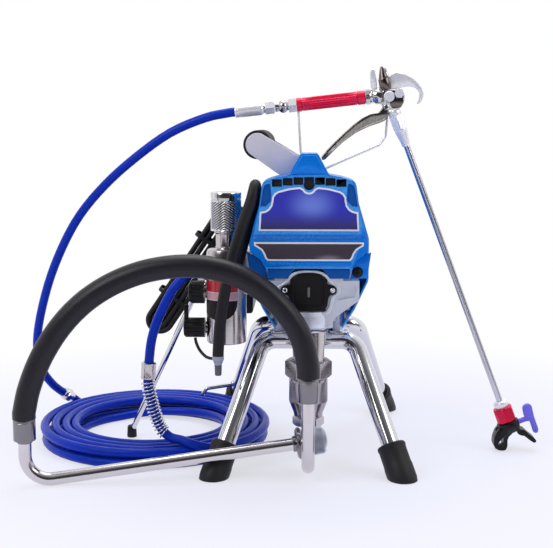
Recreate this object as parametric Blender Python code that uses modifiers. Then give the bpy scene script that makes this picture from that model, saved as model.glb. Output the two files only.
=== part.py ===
"""Airless paint sprayer on a four-legged stand, with its suction set, hose, power cord and gun.

Metres, +Z up, the pump at the front towards -Y. The floor is Z = 0.
"""

import math

import bmesh
import bpy
from mathutils import Matrix, Vector

# Clearances
GAP = 0.0003  # between pieces that touch
RUN = 0.0005  # between pieces that turn or slide in each other

# Where the machine's own middle stands in the part's frame
MACHINE_X = 0.0269
MACHINE_Y = 0.0140

# Stand
TUBE_R = 0.0127
LEG_BEND = 0.035
FOOT_X = 0.1255
FOOT_Y = 0.185
FRONT_TOP = (0.0640, -0.0830)
REAR_TOP = (0.0725, 0.0500)
CROSS_Z = 0.168
CAP_R = 0.0195
CAP_HIGH = 0.040
CAP_SOLE = 0.010
ROD_R = 0.0040
STAY_Y = -0.066

# Drive
CRANK_Z = 0.293
CRANK_REACH = 0.012
GEAR_TEETH = 40
PINION_TEETH = 8
SHAFT_SPACING = 0.045
GEAR_FRONT = -0.098
GEAR_THICK = 0.014
MOTOR_R = 0.040
MOTOR_WALL = 0.005
MOTOR_FRONT = -0.0597
MOTOR_REAR = 0.070
SHAFT_R = 0.004
HOUSING_REAR = -0.060
HOUSING_HALF = 0.0665
FRONT_WALL = 0.0035  # in front of the pump's cylinder
NECK_TOP, NECK_END, NECK_R = 0.2205, 0.1985, 0.0325

# Cover and shroud
COVER_ROOM = 0.006  # from the housing's face to the cover's
COVER_WALL = 0.003
SHROUD_FRONT = -0.1095
SHROUD_REAR = 0.112
SHROUD_WALL = 0.0025
SHROUD_TOP = 0.392
VENT_CELLS = 7
VENT_PITCH = 0.0139
VENT_WIDTH = 0.0124
VENT_HIGH = 0.0085
PLATE_THICK = 0.0015

# Pump
PUMP_Y = -0.135
CYLINDER_R = 0.0215
CYLINDER_TOP = CRANK_Z - 0.063
CYLINDER_END = 0.1272
CYLINDER_NECK = 0.016
BORE_R = 0.0140
JAM_ACROSS = 0.0550
JAM_HIGH = 0.0245
VALVE_R = 0.0254
VALVE_END = 0.0740
INLET_NUT_ACROSS = 0.0370
INLET_NUT_HIGH = 0.0130
ROD_PISTON_R = 0.0080
BALL_R = 0.0080
BALL_SEAT = 0.0840
SEAT_DEEP = 0.004
PISTON_FOOT = CYLINDER_END + 0.0158
PISTON_HIGH = 0.014
YOKE_HALF = 0.0240
YOKE_DEEP = 0.018
YOKE_LOW, YOKE_TOP = CRANK_Z - 0.022, CRANK_Z + 0.017
HOUSING_FRONT = PUMP_Y - CYLINDER_R - FRONT_WALL
COVER_FRONT = HOUSING_FRONT - COVER_ROOM

# Suction set
PIPE_R = 0.0082
U_REACH = 0.080
U_FERRULE = (0.112, 0.144)
SUCTION_R = 0.0150
INTAKE_CORNER = Vector((-0.3665, -0.2235, 0.0035))
FERRULE_R = 0.0144
STRAINER_R = 0.0190
STRAINER_LONG = 0.038
STRAINER_START = Vector((-0.0185, -0.1835, 0.0545))

# Filter and valves
FILTER_X = -0.113
FILTER_Y = -0.100
FILTER_R = 0.0275
FILTER_BASE = 0.168
FILTER_TOP = 0.310
FILTER_NECK_R = 0.0170
FILTER_CAP = (0.3220, 0.3748)
FILTER_CAP_R = 0.0210
KNOB_FACE = -0.1415
PRESSURE_KNOB = (0.0158, 0.023, 0.2375)
DRAIN_KNOB = (0.0138, 0.030, 0.1880)
OUTLET_Y = -0.112
OUTLET_Z = 0.264
OUTLET_FACE = -0.1412
PORT_Z = 0.2560

# Carry handle
GRIP_X = -0.0696
GRIP_Z = 0.4385
GRIP_R = 0.0195
BRACKET_FRONT = SHROUD_FRONT
BRACKET_REAR = 0.061
BRACKET_PLATE = 0.005
SPINE_TOP = 0.3990

# Control box
BOX_LOW = (-0.124, 0.000, 0.190)
BOX_HIGH = (-0.0818, 0.100, 0.268)
SWITCH_X = -0.103
SWITCH_Z = 0.229

# Cords
HOSE_R = 0.0065
DRAIN_R = 0.0070
CORD_R = 0.00375
COIL_X = -0.238
COIL_Y = 0.012
COIL_OUTER = 0.165
COIL_PITCH = 0.0136
COIL_START = math.radians(-45)
COIL_TURNS = 8 + 165 / 360
LOOP_POINTS = 24
SPRING_TURNS = 16
SPRING_R = 0.0089
SPRING_WIRE = 0.0008
CURL_POINTS = 8
HANK_TURNS = 8
HANK_POINTS = 16
HANK_END_POINTS = 6
HANK_LAYERS = 4
HANK_HALF = 0.088
HANK_ROUND = 0.019
HANK_STEP = 0.0081
HANK_MIDDLE = Vector((-0.1665, -0.020, 0.260))
HANK_ALONG = Vector((-0.5557, 0.0, -0.8314))

# Gun, in its own upright plane
GUN_Y = -0.040
LANCE_TOP = Vector((0.1366, GUN_Y, 0.4344))
LANCE_ALONG = Vector((0.3566, 0.0, -0.9342))
LANCE_LONG = 0.390
LANCE_R = 0.0045
HANDLE_BACK = Vector((-0.0180, GUN_Y, 0.4925))
HANDLE_FRONT = Vector((0.0772, GUN_Y, 0.5031))
HANDLE_R = 0.0095
BODY_HALF = 0.0120
TRIGGER_PIVOT = Vector((0.1040, GUN_Y, 0.4815))
LOCK_PIVOT = Vector((0.0885, GUN_Y, 0.5183))
GUARD_R = 0.0020
KEY_PLACE = 0.0360  # from the lance's end to the key's axis

# Routes that were chosen by hand
RISER_ROUTE = [
    (-0.1583, -0.1120, 0.2640), (-0.1760, -0.1145, 0.2535), (-0.1880, -0.1165, 0.2375),
    (-0.2040, -0.1190, 0.2056), (-0.2141, -0.1200, 0.1750), (-0.2185, -0.1200, 0.1415),
    (-0.2202, -0.1200, 0.1135), (-0.2177, -0.1200, 0.0966), (-0.2122, -0.1200, 0.0755),
    (-0.2040, -0.1200, 0.0560), (-0.1910, -0.1217, 0.0400), (-0.1730, -0.1262, 0.0345),
    (-0.1565, -0.1300, 0.0295),
]
COLLAR_ROUTE = [(-0.2184, -0.1200, 0.1425), (-0.2199, -0.1200, 0.1200)]
SPRING_ROUTE = [
    (-0.2200, -0.1200, 0.1185), (-0.2202, -0.1200, 0.1135), (-0.2177, -0.1200, 0.0966),
    (-0.2122, -0.1200, 0.0755), (-0.2040, -0.1200, 0.0560), (-0.1965, -0.1205, 0.0455),
]
TAIL_ROUTE = [
    (-0.3335, 0.1478, 0.0070), (-0.3480, 0.1385, 0.0110), (-0.3585, 0.1295, 0.0200),
    (-0.3645, 0.1215, 0.0300),
]
COUPLING_ROUTE = [(-0.3715, 0.1140, 0.0390), (-0.3825, 0.1020, 0.0500)]
WHIP_ROUTE = [
    (-0.3825, 0.1020, 0.0500), (-0.3975, 0.0880, 0.0665), (-0.4105, 0.0760, 0.0870),
    (-0.4170, 0.0640, 0.1181), (-0.4104, 0.0480, 0.1629), (-0.3906, 0.0300, 0.2272),
    (-0.3645, 0.0140, 0.2848), (-0.3337, 0.0000, 0.3348), (-0.2939, -0.0120, 0.3792),
    (-0.2483, -0.0220, 0.4182), (-0.1967, -0.0310, 0.4537), (-0.1464, -0.0375, 0.4746),
    (-0.1043, -0.0400, 0.4829),
]
SUCTION_ROUTE = [
    (0.0000, -0.2150, 0.1443), (-0.0010, -0.2150, 0.1622), (-0.0064, -0.2150, 0.1880),
    (-0.0165, -0.2150, 0.2100), (-0.0330, -0.2150, 0.2330), (-0.0579, -0.2150, 0.2569),
    (-0.0870, -0.2155, 0.2747), (-0.1190, -0.2160, 0.2845), (-0.1510, -0.2165, 0.2879),
    (-0.1850, -0.2170, 0.2855), (-0.2192, -0.2175, 0.2775), (-0.2553, -0.2185, 0.2618),
    (-0.2891, -0.2195, 0.2385), (-0.3185, -0.2205, 0.2072), (-0.3425, -0.2215, 0.1690),
    (-0.3585, -0.2225, 0.1296), (-0.3660, -0.2235, 0.0885),
]
DRAIN_ROUTE = [
    (-0.0965, -0.1345, 0.2705), (-0.0940, -0.1345, 0.2850), (-0.0885, -0.1355, 0.3100),
    (-0.0825, -0.1360, 0.3400), (-0.0765, -0.1370, 0.3680), (-0.0750, -0.1410, 0.3860),
    (-0.0750, -0.1490, 0.3935), (-0.0758, -0.1570, 0.3865), (-0.0790, -0.1610, 0.3680),
    (-0.0895, -0.1610, 0.3300), (-0.1025, -0.1600, 0.2850), (-0.1120, -0.1580, 0.2400),
    (-0.1178, -0.1560, 0.2000), (-0.1205, -0.1550, 0.1556),
]
LEAD_ROUTE = [
    (-0.1403, 0.0300, 0.2250), (-0.1520, 0.0300, 0.2235), (-0.1640, 0.0240, 0.2185),
    (-0.1685, 0.0110, 0.2190), (-0.1650, -0.0030, 0.2270),
]
CORD_TAIL = [(-0.1350, -0.0400, 0.2700), (-0.1200, -0.0500, 0.2900), (-0.1085, -0.0535, 0.3080)]
PLUG_ENDS = [(-0.1070, -0.0537, 0.3183), (-0.1050, -0.0537, 0.3520)]


# ---------------------------------------------------------------- helpers

def clear_scene():
    for old in list(bpy.data.objects):
        bpy.data.objects.remove(old)


def collection(name):
    made = bpy.data.collections.new(name)
    bpy.context.scene.collection.children.link(made)
    return made


clear_scene()
PARTS = collection("airless_paint_sprayer")
CUTTERS = collection("cutters")
MACHINE = bpy.data.objects.new("machine_middle", None)
PARTS.objects.link(MACHINE)
MACHINE.location = (MACHINE_X, MACHINE_Y, 0.0)


def material(name, colour, roughness, metallic):
    made = bpy.data.materials.new(name)
    made.use_nodes = True
    shader = made.node_tree.nodes["Principled BSDF"]
    shader.inputs["Base Color"].default_value = (*colour, 1.0)
    shader.inputs["Roughness"].default_value = roughness
    shader.inputs["Metallic"].default_value = metallic
    return made


CHROME = material("chrome", (0.80, 0.81, 0.83), 0.12, 1.0)
STEEL = material("stainless_steel", (0.62, 0.61, 0.60), 0.28, 1.0)
CAST = material("cast_aluminium", (0.66, 0.67, 0.70), 0.42, 1.0)
IRON = material("dark_steel", (0.25, 0.25, 0.26), 0.40, 1.0)
COPPER = material("winding_copper", (0.60, 0.30, 0.14), 0.35, 1.0)
BLUE_PAINT = material("blue_paint", (0.01, 0.16, 0.55), 0.28, 0.4)
BADGE_BLUE = material("badge_blue", (0.10, 0.12, 0.55), 0.20, 0.0)
BADGE_DARK = material("badge_dark", (0.06, 0.04, 0.04), 0.18, 0.0)
BLACK_PLASTIC = material("black_plastic", (0.015, 0.015, 0.017), 0.45, 0.0)
BLACK_RUBBER = material("black_rubber", (0.022, 0.022, 0.024), 0.65, 0.0)
GREY_PAINT = material("grey_paint", (0.42, 0.42, 0.45), 0.40, 0.2)
GREY_PLASTIC = material("grey_plastic", (0.30, 0.31, 0.34), 0.45, 0.0)
BLUE_HOSE = material("blue_hose", (0.0, 0.04, 0.50), 0.30, 0.0)
RED_METAL = material("red_anodised", (0.55, 0.01, 0.06), 0.25, 0.8)
KEY_VIOLET = material("violet_plastic", (0.10, 0.08, 0.55), 0.35, 0.0)


def finish(obj, look, pivot=None):
    """Puts a made object among the parts, with its origin on the pivot if it moves."""
    if pivot is not None:
        obj.data.transform(Matrix.Translation(-Vector(pivot)) @ obj.matrix_world)
        obj.matrix_world = Matrix.Translation(Vector(pivot))
    obj.parent = MACHINE
    PARTS.objects.link(obj)
    CUTTERS.objects.unlink(obj)
    obj.data.materials.clear()
    obj.data.materials.append(look)
    if obj.type == "MESH":
        obj.data.shade_smooth()
        obj.data.set_sharp_from_angle(angle=math.radians(35))
    return obj


def helper(name, data):
    """A cutter or a shape that another joins: it stays out of the render."""
    obj = bpy.data.objects.new(name, data)
    CUTTERS.objects.link(obj)
    return obj


def from_bmesh(name, bm):
    mesh = bpy.data.meshes.new(name)
    bm.to_mesh(mesh)
    bm.free()
    return helper(name, mesh)


def box(name, low, high):
    low, high = Vector(low), Vector(high)
    bm = bmesh.new()
    place = Matrix.Translation((low + high) / 2) @ Matrix.Diagonal((high - low).to_4d())
    bmesh.ops.create_cube(bm, size=1.0, matrix=place)
    return from_bmesh(name, bm)


def rod(name, start, end, radius, end_radius=None, sides=16):
    start, end = Vector(start), Vector(end)
    along = end - start
    turn = along.to_track_quat("Z", "Y").to_matrix().to_4x4()
    bm = bmesh.new()
    bmesh.ops.create_cone(
        bm, cap_ends=True, segments=sides, radius1=radius,
        radius2=radius if end_radius is None else end_radius, depth=along.length,
        matrix=Matrix.Translation((start + end) / 2) @ turn,
    )
    return from_bmesh(name, bm)


def ball(name, centre, radius, around=14, up=9):
    bm = bmesh.new()
    bmesh.ops.create_uvsphere(
        bm, u_segments=around, v_segments=up, radius=radius,
        matrix=Matrix.Translation(Vector(centre)),
    )
    return from_bmesh(name, bm)


def hexagon(name, start, end, across_flats):
    return rod(name, start, end, across_flats / math.sqrt(3), sides=6)


def turned(name, profile, centre, axis=(0, 0, 1), steps=20, closed=False):
    """A profile of (radius, height) points, listed from the top down its outer side, and turned."""
    mesh = bpy.data.meshes.new(name)
    count = len(profile)
    edges = [(i, (i + 1) % count) for i in range(count if closed else count - 1)]
    edges = [(i, j) for i, j in edges if profile[i][0] or profile[j][0]]
    mesh.from_pydata([(radius, 0.0, height) for radius, height in profile], edges, [])
    obj = helper(name, mesh)
    screw = obj.modifiers.new("turn", "SCREW")
    screw.steps = screw.render_steps = steps
    screw.use_merge_vertices = True
    screw.merge_threshold = 0.00001
    turn = Vector(axis).to_track_quat("Z", "Y").to_matrix().to_4x4()
    obj.matrix_world = Matrix.Translation(Vector(centre)) @ turn
    return obj


def meshed(curve_obj):
    """The mesh of a curve object, with its caps welded on."""
    bpy.context.view_layer.update()
    graph = bpy.context.evaluated_depsgraph_get()
    mesh = bpy.data.meshes.new_from_object(curve_obj.evaluated_get(graph))
    bm = bmesh.new()
    bm.from_mesh(mesh)
    bmesh.ops.remove_doubles(bm, verts=bm.verts, dist=0.00001)
    bmesh.ops.recalc_face_normals(bm, faces=bm.faces)
    bm.to_mesh(mesh)
    bm.free()
    name = curve_obj.name
    curve_obj.name = name + "_curve"
    mesh_obj = helper(name, mesh)
    mesh_obj.matrix_world = curve_obj.matrix_world.copy()
    bpy.data.objects.remove(curve_obj)
    return mesh_obj


def slab(name, outline, near, far, facing="Y"):
    """A flat outline with thickness: (x, z) points between two Ys, or (y, z) between two Xs."""
    curve = bpy.data.curves.new(name, "CURVE")
    curve.dimensions = "2D"
    curve.fill_mode = "BOTH"
    curve.extrude = (far - near) / 2
    spline = curve.splines.new("POLY")
    spline.points.add(len(outline) - 1)
    for point, (across, high) in zip(spline.points, outline):
        point.co = (across, high, 0.0, 1.0)
    spline.use_cyclic_u = True
    obj = helper(name, curve)
    upright = Matrix.Rotation(math.pi / 2, 4, "X")
    middle = (near + far) / 2
    if facing == "Y":
        obj.matrix_world = Matrix.Translation((0.0, middle, 0.0)) @ upright
    else:
        quarter = Matrix.Rotation(math.pi / 2, 4, "Z")
        obj.matrix_world = Matrix.Translation((middle, 0.0, 0.0)) @ quarter @ upright
    return meshed(obj)


def wire(name, points, radius, resolution=2):
    """A round bar along its points, left as a curve with filled caps."""
    curve = bpy.data.curves.new(name, "CURVE")
    curve.dimensions = "3D"
    curve.bevel_depth = radius
    curve.bevel_resolution = resolution
    curve.use_fill_caps = True
    spline = curve.splines.new("POLY")
    spline.points.add(len(points) - 1)
    for point, place in zip(spline.points, points):
        point.co = (*place, 1.0)
    return helper(name, curve)


def rounded(corners, radius, steps=4):
    """Corners joined by straight runs, with an arc of this radius at each."""
    corners = [Vector(corner) for corner in corners]
    points = [corners[0]]
    for before, corner, after in zip(corners, corners[1:], corners[2:]):
        back = (before - corner).normalized()
        ahead = (after - corner).normalized()
        half = back.angle(ahead) / 2
        bisector = (back + ahead).normalized()
        centre = corner + bisector * (radius / math.sin(half))
        first = corner + back * (radius / math.tan(half)) - centre
        last = corner + ahead * (radius / math.tan(half)) - centre
        for step in range(steps + 1):
            points.append(centre + radius * first.slerp(last, step / steps))
    points.append(corners[-1])
    return points


def smooth(route, per_span=3):
    """Points along a smooth curve that passes through every point of the route."""
    route = [Vector(point) for point in route]
    ends = [2 * route[0] - route[1], *route, 2 * route[-1] - route[-2]]
    points = []
    for a, b, c, d in zip(ends, ends[1:], ends[2:], ends[3:]):
        for step in range(per_span):
            t = step / per_span
            points.append(
                0.5 * ((2 * b) + (c - a) * t + (2 * a - 5 * b + 4 * c - d) * t * t
                       + (3 * b - a - 3 * c + d) * t * t * t)
            )
    points.append(route[-1])
    return points


def cord_path(route, first_way, last_way, straight, per_span=2):
    """A smooth way through the route, with a straight run at each end along the given direction."""
    start, end = Vector(route[0]), Vector(route[-1])
    after = start + Vector(first_way).normalized() * straight
    before = end - Vector(last_way).normalized() * straight
    return [start, *smooth([after, *route[1:-1], before], per_span), end]


def cut(obj, tool):
    add_boolean(obj, tool, "DIFFERENCE")


def join(obj, tool):
    add_boolean(obj, tool, "UNION")


def add_boolean(obj, tool, operation):
    modifier = obj.modifiers.new(tool.name, "BOOLEAN")
    modifier.operation = operation
    modifier.object = tool
    modifier.solver = "EXACT"
    tool.hide_render = True
    tool.display_type = "WIRE"
    tool.parent = MACHINE


def mirrored(half):
    """A closed outline from its right half, listed from the top down. Only a corner can lie on x = 0."""
    left = [(-x, z) for x, z in reversed(half) if x > 0]
    return half + left


def inset(outline, wall):
    """The outline of a clockwise shape moved inwards by the wall, corner by corner."""
    count = len(outline)
    moved = []
    for i in range(count):
        before, here, after = (Vector(outline[(i + k) % count]) for k in (-1, 0, 1))
        first = (here - before).normalized()
        second = (after - here).normalized()
        inward_first = Vector((first.y, -first.x))
        inward_second = Vector((second.y, -second.x))
        middle = (inward_first + inward_second).normalized()
        moved.append(here + middle * (wall / middle.dot(inward_first)))
    return [(point.x, point.y) for point in moved]


def least_gap(points, diameter, apart):
    """The least gap between stretches of a tube that are this many points apart along it."""
    least = math.inf
    for i, first in enumerate(points):
        for second in points[i + apart:]:
            least = min(least, (first - second).length)
    return least - diameter


# ---------------------------------------------------------------- stand

def leg_foot(side, front):
    return Vector((side * FOOT_X, -FOOT_Y if front else FOOT_Y, 0.0))


def leg_top(side, front):
    across, depth = FRONT_TOP if front else REAR_TOP
    return Vector((side * across, depth, CROSS_Z))


def leg_end(side, front):
    foot, top = leg_foot(side, front), leg_top(side, front)
    return foot + (top - foot) * ((CAP_SOLE + TUBE_R) / CROSS_Z)


def stand_frame(name, front):
    corners = [leg_end(-1, front), leg_top(-1, front), leg_top(1, front), leg_end(1, front)]
    frame = wire(name, rounded(corners, LEG_BEND), TUBE_R)
    if front:
        return finish(frame, CHROME)
    frame = meshed(frame)
    hook_root = leg_foot(-1, False).lerp(leg_top(-1, False), 0.31)
    tip = hook_root + Vector((-0.055, 0.0, -0.003))
    hook = [hook_root, tip, tip + Vector((-0.006, 0.0, -0.006)), tip + Vector((-0.004, 0.0, -0.014))]
    join(frame, meshed(wire("hook_rod", hook, ROD_R * 0.8)))
    return finish(frame, CHROME)


def foot_cap(name, side, front):
    foot, top = leg_foot(side, front), leg_top(side, front)
    along = (top - foot).normalized()
    collar = foot + along * (CAP_HIGH / along.z)
    cap = rod(name, foot - along * CAP_R, collar, CAP_R, sides=20)
    bore = rod(name + "_bore", leg_end(side, front) - along * GAP, collar + along * CAP_R,
               TUBE_R + GAP, sides=20)
    floor = foot - Vector((0.1, 0.1, 0.1))
    cut(cap, bore)
    cut(cap, box(name + "_floor", floor, foot + Vector((0.1, 0.1, 0.0))))
    finish(cap, BLACK_RUBBER)


def side_stay():
    foot = Vector((-0.2645, 0.008, ROD_R + 0.006))
    corners = [(-HOUSING_HALF - GAP, STAY_Y, 0.245), (-0.152, STAY_Y, 0.245), foot]
    stay = meshed(wire("side_stay", rounded(corners, 0.012), ROD_R))
    join(stay, rod("stay_foot", (foot.x, foot.y, 0.0), (foot.x, foot.y, 0.017), 0.0073, 0.0066, 14))
    finish(stay, CHROME)


# ---------------------------------------------------------------- drive

def housing_outline():
    return mirrored([
        (0.0, 0.380), (0.052, 0.375), (HOUSING_HALF, 0.345), (HOUSING_HALF, 0.236),
        (0.032, 0.2106), (0.032, 0.1995),
    ])


def crank_point(depth, high=CRANK_Z):
    return (0.0, depth, high)


def gear_housing():
    housing = slab("gear_housing", housing_outline(), HOUSING_FRONT, HOUSING_REAR)
    join(housing, box("shroud_pad", (-0.020, -0.105, 0.370), (0.020, -0.062, SHROUD_TOP - SHROUD_WALL - GAP)))
    join(housing, rod("neck", (0, PUMP_Y, NECK_END), (0, PUMP_Y, NECK_TOP), NECK_R, sides=24))
    front_y = FRONT_TOP[1]
    join(housing, box("front_saddle", (-0.037, front_y - 0.020, CROSS_Z), (0.037, front_y + 0.020, 0.2150)))
    cut(housing, rod("front_tube_groove", (-0.1, front_y, CROSS_Z), (0.1, front_y, CROSS_Z),
                     TUBE_R + GAP, sides=24))
    ahead = HOUSING_FRONT - 0.010
    for side in (-1, 1):
        corner = sorted((side * 0.045, side * 0.100))
        cut(housing, box("cover_room_%d" % side, (corner[0], ahead, 0.262), (corner[1], SHROUD_FRONT, 0.400)))
    cut(housing, box("cover_top_room", (-0.100, ahead, 0.355), (0.100, SHROUD_FRONT, 0.400)))
    half, stroke = YOKE_HALF + RUN, CRANK_REACH + 0.020
    cut(housing, box("yoke_room", (-half, ahead, CYLINDER_TOP + 0.0045),
                     (half, GEAR_FRONT - 0.0045, YOKE_TOP + stroke)))
    cut(housing, rod("pump_seat", (0, PUMP_Y, NECK_END - 0.0185), (0, PUMP_Y, CYLINDER_TOP + 0.010),
                     CYLINDER_R + GAP, sides=24))
    gear_radius = pitch_radius(GEAR_TEETH) + 0.003
    gear_back = GEAR_FRONT + GEAR_THICK + 2 * RUN
    cut(housing, rod("gear_room", crank_point(GEAR_FRONT - 0.0055), crank_point(gear_back),
                     gear_radius, sides=28))
    cut(housing, rod("crank_bearing", crank_point(gear_back - 0.001), crank_point(-0.050),
                     0.0100 + RUN, sides=20))
    pinion = CRANK_Z + SHAFT_SPACING
    cut(housing, rod("pinion_room", crank_point(GEAR_FRONT - 0.0050, pinion), crank_point(-0.050, pinion),
                     pitch_radius(PINION_TEETH) + 0.0025, sides=20))
    finish(housing, CAST)


def pitch_radius(teeth):
    return SHAFT_SPACING * teeth / (GEAR_TEETH + PINION_TEETH)


def gear_outline(teeth, centre_z, turned_by):
    """A tooth is a trapezium whose flanks leave some backlash."""
    pitch = 2 * math.pi / teeth
    tip, root = pitch_radius(teeth) + 0.0008, pitch_radius(teeth) - 0.0016
    points = []
    for tooth in range(teeth):
        middle = tooth * pitch + turned_by
        for share, radius in ((-0.10, tip), (0.10, tip), (0.50, root)):
            angle = middle + share * pitch
            points.append((radius * math.sin(angle), centre_z + radius * math.cos(angle)))
    return points


def crank_gear():
    back = GEAR_FRONT + GEAR_THICK
    gear = slab("crank_gear", gear_outline(GEAR_TEETH, CRANK_Z, math.pi / GEAR_TEETH), GEAR_FRONT, back)
    join(gear, rod("crank_journal", crank_point(back - 0.001), crank_point(HOUSING_REAR - 0.0005), 0.0100))
    pin = CRANK_Z
    place = (CRANK_REACH, GEAR_FRONT + 0.001, pin)
    pin_end = PUMP_Y + YOKE_DEEP / 2 + 0.0002 + RUN
    join(gear, rod("crank_pin", place, (CRANK_REACH, pin_end, pin), 0.0050, sides=16))
    finish(gear, IRON, pivot=crank_point(GEAR_FRONT))


def motor_rotor():
    high = CRANK_Z + SHAFT_SPACING
    rotor = slab("motor_rotor", gear_outline(PINION_TEETH, high, 0.0), GEAR_FRONT, GEAR_FRONT + GEAR_THICK)
    join(rotor, rod("shaft", crank_point(GEAR_FRONT + 0.001, high), crank_point(0.0960, high),
                    SHAFT_R, sides=16))
    join(rotor, rod("armature", crank_point(-0.030, high), crank_point(0.040, high), 0.0300, sides=20))
    join(rotor, rod("fan_disc", crank_point(0.0860, high), crank_point(0.0885, high), 0.0330, sides=20))
    for blade in range(6):
        turn = Matrix.Rotation(blade * math.pi / 3, 4, "Y")
        fin = box("fan_blade_%d" % blade, (-0.0010, 0.0745, 0.0060), (0.0010, 0.0865, 0.0320))
        fin.data.transform(Matrix.Translation((0, 0, high)) @ turn)
        join(rotor, fin)
    finish(rotor, COPPER, pivot=crank_point(GEAR_FRONT, high))


def motor_body():
    high = CRANK_Z + SHAFT_SPACING
    inner, bore = MOTOR_R - MOTOR_WALL, SHAFT_R + RUN
    back, front = MOTOR_REAR, MOTOR_FRONT
    profile = [
        (MOTOR_R, -front), (MOTOR_R, -back), (bore, -back), (bore, -back + MOTOR_WALL),
        (inner, -back + MOTOR_WALL), (inner, -front - MOTOR_WALL), (bore, -front - MOTOR_WALL),
        (bore, -front),
    ]
    body = turned("motor_body", profile, (0, 0, high), axis=(0, -1, 0), steps=28, closed=True)
    rear_y = REAR_TOP[1]
    foot = box("motor_foot", (-0.030, rear_y - 0.016, CROSS_Z), (0.030, rear_y + 0.016, high - MOTOR_R + 0.004))
    cut(foot, rod("rear_tube_groove", (-0.1, rear_y, CROSS_Z), (0.1, rear_y, CROSS_Z), TUBE_R + GAP, sides=24))
    join(body, foot)
    finish(body, IRON)


# ---------------------------------------------------------------- covers

def cover_outline():
    return mirrored([
        (0.0095, 0.4278), (0.0258, 0.4008), (0.0430, 0.3975), (0.0600, 0.3915),
        (0.0655, 0.3580), (0.0735, 0.3250), (0.0780, 0.3080), (0.0775, 0.3000), (0.0560, 0.2840),
        (0.0525, 0.2650),
    ])


def front_cover():
    cover = slab("front_cover", cover_outline(), COVER_FRONT, SHROUD_FRONT - GAP)
    hollow = inset(cover_outline(), COVER_WALL)
    cut(cover, slab("cover_hollow", hollow, COVER_FRONT + COVER_WALL, SHROUD_FRONT + 0.010))
    cut(cover, box("cover_skirt_slot", (-0.0455, COVER_FRONT + COVER_WALL, 0.255), (0.0455, -0.100, 0.275)))
    cut(cover, rod("door_arch", (0, -0.200, 0.2525), (0, -0.100, 0.2525), 0.0268, sides=24))
    middle = (VENT_CELLS - 1) / 2
    for cell in range(VENT_CELLS):
        across = (cell - middle) * VENT_PITCH
        top = 0.3985 - 1.6 * across * across
        cut(cover, box("vent_%d" % cell, (across - VENT_WIDTH / 2, -0.180, top - VENT_HIGH),
                       (across + VENT_WIDTH / 2, -0.155, top)))
    for side in (-1, 1):
        tab = [(side * x, z) for x, z in
               ((0.0480, 0.2645), (0.0780, 0.2645), (0.0816, 0.2990), (0.0720, 0.2960), (0.0520, 0.2900))]
        join(cover, slab("tab_%d" % side, tab, -0.1550, -0.1520))
    finish(cover, BLUE_PAINT)


def shroud_outline():
    return mirrored([
        (0.0300, SHROUD_TOP), (0.0520, 0.3835), (0.0680, 0.3580), (0.0815, 0.3100),
        (0.0815, 0.2560), (0.0630, 0.2150), (0.0460, 0.1870),
    ])


def rear_shroud():
    shroud = slab("rear_shroud", shroud_outline(), SHROUD_FRONT, SHROUD_REAR)
    cut(shroud, slab("shroud_hollow", inset(shroud_outline(), SHROUD_WALL), SHROUD_FRONT - 0.01,
                     SHROUD_REAR - SHROUD_WALL))
    cut(shroud, box("shroud_floor_gap", (-0.0460, SHROUD_FRONT - 0.01, 0.170), (0.0460, 0.0750, 0.2050)))
    cut(shroud, box("side_window", (-0.100, SHROUD_FRONT - 0.01, 0.2280), (-0.060, -0.0360, 0.3000)))
    for slot in range(5):
        across = (slot - 2) * 0.0150
        cut(shroud, box("rear_slot_%d" % slot, (across - 0.0018, 0.100, 0.3050),
                        (across + 0.0018, SHROUD_REAR + 0.008, 0.3650)))
    finish(shroud, BLUE_PAINT)


def badge_plates():
    near = COVER_FRONT - GAP - PLATE_THICK
    upper = mirrored([
        (0.0, 0.3776), (0.0050, 0.3800), (0.0115, 0.3835), (0.0270, 0.3818), (0.0426, 0.3775),
        (0.0460, 0.3730), (0.0485, 0.3655), (0.0557, 0.3578), (0.0620, 0.3525), (0.0648, 0.3270),
    ])
    finish(slab("upper_badge_plate", upper, near, near + PLATE_THICK), BADGE_BLUE)
    lower = mirrored([
        (0.0712, 0.3126), (0.0712, 0.3087), (0.0627, 0.3035), (0.0576, 0.2960),
        (0.0545, 0.2890),
    ])
    finish(slab("lower_badge_plate", lower, near, near + PLATE_THICK), BADGE_DARK)


def pump_door():
    outline = mirrored([
        (0.0, 0.2720), (0.0120, 0.2702), (0.0205, 0.2655), (0.0265, 0.2585), (0.0365, 0.2550),
        (0.0375, 0.2470), (0.0310, 0.2440), (0.0235, 0.2260), (0.0210, 0.2222),
    ])
    finish(slab("pump_door", outline, HOUSING_FRONT - GAP - 0.0042, HOUSING_FRONT - GAP), BLACK_PLASTIC)


def cover_screw():
    across, high, face = 0.0640, 0.2735, -0.1550
    cut_room = rod("screw_room", (across, -0.170, high), (across, -0.140, high), 0.0028 + GAP, sides=14)
    cut(bpy.data.objects["front_cover"], cut_room)
    screw = rod("cover_screw", (across, face - GAP - 0.005, high), (across, face - GAP, high), 0.0065, sides=16)
    join(screw, rod("screw_shank", (across, face - 0.001, high), (across, SHROUD_FRONT - GAP, high),
                    0.0026, sides=12))
    finish(screw, BLACK_PLASTIC)


# ---------------------------------------------------------------- pump

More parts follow.
